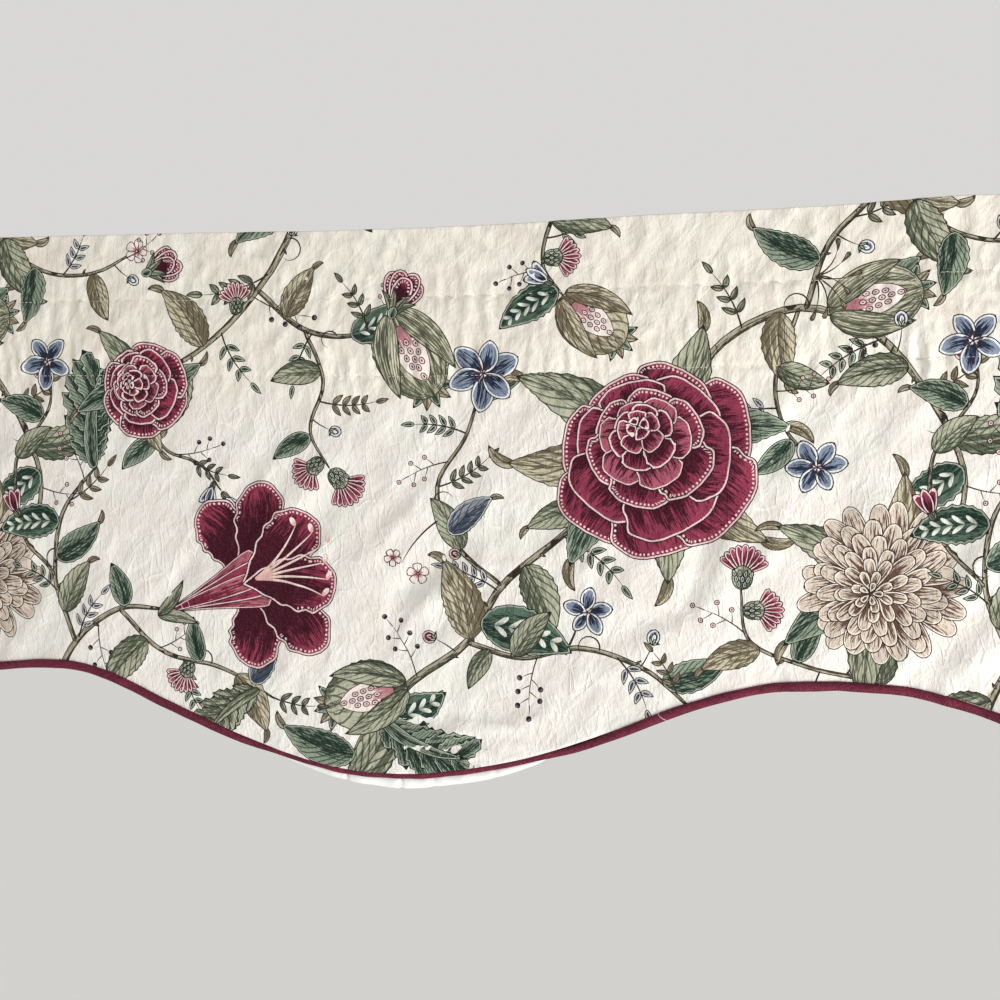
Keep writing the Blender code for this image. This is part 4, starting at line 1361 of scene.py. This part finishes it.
LINING_CREASES = [Fold(width, depth, path) for width, depth, *path in (
    (12, 2.4, (-550, -110), (-520, -240), (-500, -350)),
    (16, 2.8, (-300, -110), (-340, -230), (-360, -400)),
    (10, 2.0, (-120, -110), (-84, -210), (-60, -330)),
    (14, 2.6, (140, -110), (112, -220), (100, -350)),
    (12, 2.2, (360, -110), (384, -230), (420, -390)),
    (14, 2.4, (600, -110), (590, -220), (560, -330)),
    (4, 0.7, (-660, -238), (-200, -246), (240, -249), (660, -254)),
)]


def tuck(x, run=0.0):
    """1 where the cloth's edge laps over the cord, easing to 0 outside it."""
    return ease((x - PEEK_START + run) / TUCK_RUN) * ease((PEEK_END - x + run) / TUCK_RUN)


def cord_middle(x):
    """Depth and height of the covered cord's middle, and its stretch up a slope."""
    slope = (edge_height(x + 0.004) - edge_height(x - 0.004)) / 0.008
    stretch = np.hypot(1.0, slope)
    depth = -0.5 * CLOTH + TUCK_BACK * tuck(x, TUCK_RUN) + relief(x, edge_height(x))
    return depth, edge_height(x) - CORD_RADIUS * stretch + TUCK_LIFT * tuck(x), stretch


def lining_bottom(x):
    _, middle, stretch = cord_middle(x)
    shown = middle - CORD_RADIUS * stretch - smooth_table(PEEK, x)
    return edge_height(x) + (shown - edge_height(x)) * tuck(x)


lining_x = np.concatenate([np.arange(-0.5 * WIDTH, PEEK_START - 0.002, 0.0042),
                           np.arange(PEEK_START, PEEK_END, 0.0009),
                           np.arange(PEEK_END + 0.003, 0.5 * WIDTH, 0.0042), [0.5 * WIDTH]])
DROP_ROWS, ROLL_ROWS = 46, 18
columns = []
for x in lining_x:
    notch = sum(crease.depth * hump((x - crease.x) / crease.width) for crease in ROLL_CREASES)
    peek = max(float(smooth_table(PEEK, x)), 0.0) * tuck(x)
    tall = 0.5 * (peek + 0.0008) * (1 - 0.30 * notch)
    deep = min(ROLL_DEPTH, 0.0002 + 0.8 * tall) * (1 - 0.45 * notch)
    middle = lining_bottom(x) + 0.5 * LINING_CLOTH + 0.3 * notch * peek + tall
    t = np.linspace(0, 1, DROP_ROWS)
    z = LINING_TOP + (middle - LINING_TOP) * t
    behind = TUCK_BACK + CORD_RADIUS - 0.5 * CLOTH + 0.0004
    set_back = (behind - LINING_GAP) * ease((t - LINING_BEND) / LINING_BEND_RUN)
    own_folds = fold_depth(x, z, LINING_CREASES) * ease((t - 0.02) / 0.2) * ease((0.98 - t) / 0.2)
    y = (LINING_GAP + 0.5 * LINING_CLOTH + set_back * tuck(x, 2 * TUCK_RUN) + relief(x, z)
         + puckers(x, z) + own_folds)
    turn = np.linspace(0, ROLL_TURN, ROLL_ROWS)[1:]
    path_y = np.concatenate([y, y[-1] - deep + deep * np.cos(turn)])
    path_z = np.concatenate([z, z[-1] - tall * np.sin(turn)])
    path_z = path_z + sag(x, path_z)
    step_y, step_z = np.gradient(path_y), np.gradient(path_z)
    size = np.hypot(step_y, step_z)
    side_y, side_z = -step_z / size, step_y / size
    half = 0.5 * min(LINING_CLOTH, 1.2 * deep)
    columns.append(np.stack([np.full((2, len(path_y)), x),
                             [path_y + half * side_y, path_y - half * side_y],
                             [path_z + half * side_z, path_z - half * side_z]], axis=-1))
columns = np.array(columns)                      # columns, two skins, rows, xyz


def lining_mesh():
    count, rows = len(lining_x), columns.shape[2]
    ends, last = rows - 1, count - 1

    def at(column, skin, row):
        return (column * 2 + skin) * rows + row

    def quads(*corners):
        return np.stack(corners, -1).reshape(-1, 4).tolist()

    c, r = np.meshgrid(np.arange(last), np.arange(ends), indexing="ij")
    back = quads(at(c, 0, r), at(c, 0, r + 1), at(c + 1, 0, r + 1), at(c + 1, 0, r))
    front = quads(at(c, 1, r), at(c + 1, 1, r), at(c + 1, 1, r + 1), at(c, 1, r + 1))
    c, r = np.arange(last), np.arange(ends)
    top = quads(at(c, 0, 0), at(c + 1, 0, 0), at(c + 1, 1, 0), at(c, 1, 0))
    low = quads(at(c, 0, ends), at(c, 1, ends), at(c + 1, 1, ends), at(c + 1, 0, ends))
    left = quads(at(0, 0, r), at(0, 1, r), at(0, 1, r + 1), at(0, 0, r + 1))
    right = quads(at(last, 0, r), at(last, 0, r + 1), at(last, 1, r + 1), at(last, 1, r))
    mesh, vertex, face = new_mesh("lining_sheet", columns, back + front + top + low + left + right)
    # two charts, one over the other: the front of the sheet, and all else
    on_front = (face >= len(back)) & (face < len(back) + len(front))
    across = (lining_x[vertex // (2 * rows)] + 0.5 * WIDTH) / WIDTH
    down = vertex % rows / ends
    set_chart(mesh, 0.01 + 0.98 * across, 0.01 + 0.47 * (1 - down) + 0.5 * ~on_front)
    return mesh


lining_sheet = add_object("lining_sheet", lining_mesh())

lawn = Finish("white_lawn")
x, y, z = lawn.parts(lawn.place)
soft = lawn.noise(lawn.vector(x * 60, y * 60, z * 60), 1.0, 5.0, 0.6, 0.4)
weave = (x * 2 * pi / 0.00042).sine() + (z * 2 * pi / 0.00042).sine()
white = lawn.mix(lawn.noise(lawn.place, 9.0, 3.0).ramp(0.3, 0.7), rgb(252, 252, 250),
                 rgb(245, 244, 241))
lawn.surface(base_color=white, roughness=0.9, normal=lawn.bump(soft + weave * 0.02, 0.0007))
lining_sheet.data.materials.append(lawn.material)

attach(lining_sheet, "root")
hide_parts("lining")
lining_drop = LINING_TOP - edge_height(bottom_x * MM)
float(lining_drop.mean() * WIDTH)

# ---- The covered cord -----------------------------------------------------------------
# A soft cotton cord, 6.6 mm across, wrapped in a bias strip of burgundy twill and sewn into
# the seam along the whole lower edge. Its two ends are cut flush with the sides.
CORD_SIDES = 28
CORD_STEPS = 560
SEAM_ANGLE = radians(58)  # where the strip is stitched close round the cord, on its front
SEAM_DEPTH = 0.00028
cord_random = np.random.default_rng(5)
rings = []
cord_x = np.linspace(-0.5 * WIDTH, 0.5 * WIDTH, CORD_STEPS)
lumps = sum(a * np.sin(2 * pi * cord_x / length + b) for length, a, b in zip(
    (0.031, 0.047, 0.083, 0.139), (0.00006, 0.00008, 0.00010, 0.00010),
    cord_random.uniform(0, 2 * pi, 4)))
for x, lump in zip(cord_x, lumps):
    depth, middle, stretch = cord_middle(x)
    turn = 2 * pi * (np.arange(CORD_SIDES) + 0.5) / CORD_SIDES
    from_seam = np.angle(np.exp(1j * (turn - (pi - SEAM_ANGLE))))
    radius = CORD_RADIUS + lump - SEAM_DEPTH * hump(from_seam / 0.12)
    rings.append(np.stack([np.full(CORD_SIDES, x), depth + radius * np.cos(turn),
                           middle + radius * stretch * np.sin(turn)], axis=-1))


def tube_mesh(name, rings, strips=1):
    """A skin round rings of points, shut at both ends; its chart is cut into so many strips."""
    count, sides = rings.shape[:2]
    k, s = np.meshgrid(np.arange(count - 1), np.arange(sides), indexing="ij")
    after = (s + 1) % sides
    quads = np.stack([k * sides + s, k * sides + after, (k + 1) * sides + after,
                      (k + 1) * sides + s], axis=-1).reshape(-1, 4)
    first, last = np.arange(sides)[::-1], np.arange(sides) + (count - 1) * sides
    mesh, vertex, face = new_mesh(name, rings, [*quads.tolist(), first.tolist(), last.tolist()])
    step, side = np.divmod(vertex, sides)
    side = np.where((face < len(quads)) & (face % sides == sides - 1) & (side == 0), sides, side)
    strip = np.minimum((face // sides) * strips // (count - 1), strips - 1)
    set_chart(mesh, np.clip(0.01 + 0.97 * (step / (count - 1) * strips - strip), 0, 1),
              (strip + 0.04 + 0.9 * side / sides) / strips)
    return mesh


cord_mesh = tube_mesh("covered_cord", np.array(rings)[:, ::-1], strips=4)
covered_cord = add_object("covered_cord", cord_mesh)

twill = Finish("burgundy_twill")
mix, noise, vector = twill.mix, twill.noise, twill.vector
x, y, z = twill.parts(twill.place)
rib = ((x * 0.75 + z * 0.66 + y * 0.5) * 2 * pi / 0.0015).sine()
speck, mottle = (noise(vector(x * fine, y * fine, z * fine), 1.0, 3.0, 0.6) for fine in (900, 380))
faded = noise(vector(x * 30, y * 120, z * 120), 1.0, 4.0, 0.6)
wine = mix(faded.ramp(0.35, 0.68), rgb(88, 20, 42), rgb(112, 32, 56))
# Lighter specks: partly the yarns' own mottle, partly a painted highlight along the twill ribs.
wine = mix((speck + rib * 0.10).ramp(0.42, 0.75) * 0.45, wine, rgb(156, 88, 108))
# Darker mottle: partly the yarns' own, partly painted shade between the twill ribs.
wine = mix((mottle - rib * 0.06).ramp(0.48, 0.68) * 0.45, wine, rgb(58, 10, 28))
twill.surface(base_color=wine, roughness=0.75, specular_ior_level=0.2,
              normal=twill.bump(rib * 0.14 + speck * 0.5 + mottle * 0.4 + faded * 0.6, 0.0006))
cord_mesh.materials.append(twill.material)
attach(covered_cord, "root")
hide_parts("piping")

# ---- A loose thread end ---------------------------------------------------------------
# A short end of the pale thread that the seam of the covered cord is sewn with. It was left
# uncut where the sewing was fastened off, and lies down over the front of the cord.
THREAD_RADIUS = 0.00019
THREAD_SIDES = 6
# Its path: along, height, and how far it stands off the work.
THREAD_POINTS = [(-0.1220, -0.3440, 0.0000), (-0.1229, -0.3482, 0.0006),
                 (-0.1225, -0.3525, 0.0003), (-0.1196, -0.3553, 0.0002), (-0.1150, -0.3578, 0.0006)]


def front_of_work(x, z):
    """Depth of whatever is in front at a place: the cord where it reaches, or the cloth."""
    depth, middle, stretch = cord_middle(x)
    rise = (z - middle) / stretch
    cord_front = depth - np.sqrt(max(CORD_RADIUS**2 - rise**2, 0.0))
    cloth_front = hang(x, z - float(sag(x, z)))[1]
    return min(cord_front, cloth_front if z > edge_height(x) else depth)


steps = np.linspace(0, len(THREAD_POINTS) - 1, 33)
thread_x, thread_z, stand = (smooth_table(list(enumerate(row)), steps) for row in zip(*THREAD_POINTS))
thread_y = np.array([front_of_work(x, z) for x, z in zip(thread_x, thread_z)])
thread_y = np.convolve(np.pad(thread_y, 2, mode="edge"), np.full(5, 0.2), mode="valid")
route = np.stack([thread_x, thread_y - stand - 2 * THREAD_RADIUS, thread_z], axis=1)
ahead = np.gradient(route, axis=0)
ahead = ahead / np.linalg.norm(ahead, axis=1, keepdims=True)
side = np.cross(ahead, [0.0, 1.0, 0.0])
side = side / np.linalg.norm(side, axis=1, keepdims=True)
turn = 2 * pi * np.arange(THREAD_SIDES)[:, None] / THREAD_SIDES
around = side[:, None] * np.cos(turn) + np.cross(ahead, side)[:, None] * np.sin(turn)
loose_end = add_object("thread_end", tube_mesh("thread_end", route[:, None] + THREAD_RADIUS * around))

pale = Finish("pale_pink_thread")
fibre = pale.noise(pale.place, 3000.0)
pale.surface(base_color=pale.mix(fibre.ramp(0.3, 0.7), rgb(238, 216, 216), rgb(214, 180, 186)),
             roughness=0.6, normal=pale.bump(fibre, 0.00006))
loose_end.data.materials.append(pale.material)
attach(loose_end, "root")

# ---- The studio -----------------------------------------------------------------------
# A pale floor, an even pale room and one soft light from the lower right, as by a low window.
# The camera stands in front of the valance's middle, turned a little to its left half.
FLOOR_SIZE, FLOOR_HEIGHT = 60.0, -1.55
floor_mesh = bpy.data.meshes.new("floor")
floor_mesh.from_pydata([(x * FLOOR_SIZE, y * FLOOR_SIZE, FLOOR_HEIGHT)
                        for x, y in ((-1, -1), (1, -1), (1, 1), (-1, 1))], [], [(0, 1, 2, 3)])
floor = add_object("floor", floor_mesh)
paint = Finish("floor_paint")
paint.surface(base_color=rgb(249, 248, 246), roughness=0.9)
floor_mesh.materials.append(paint.material)

world = bpy.data.worlds.new("pale_room")
bpy.context.scene.world = world
world.use_nodes = True
Nodes(world.node_tree).put(world.node_tree.nodes["Background"].inputs["Color"], (0.685, 0.68, 0.67))

light_data = bpy.data.lights.new("window_light", "AREA")
light_data.shape = "RECTANGLE"
light_data.size, light_data.size_y = 1.2, 0.9
light_data.energy = 7.4
light_data.spread = radians(90)
light = add_object("window_light", light_data)
light.location = (1.10, -0.75, -0.95)
aim = Vector((-0.05, 0.0, -0.2)) - light.location
light.rotation_euler = aim.to_track_quat("-Z", "Y").to_euler()

camera_data = bpy.data.cameras.new("camera")
camera_data.sensor_width, camera_data.lens = 36.0, 49.46
camera = add_object("camera", camera_data)
camera.location = (-0.0235, -0.9705, -0.2026)
camera.rotation_euler = (0.5 * pi, 0.0, radians(12.44))
bpy.context.scene.camera = camera
bpy.context.scene.view_settings.view_transform = "Standard"
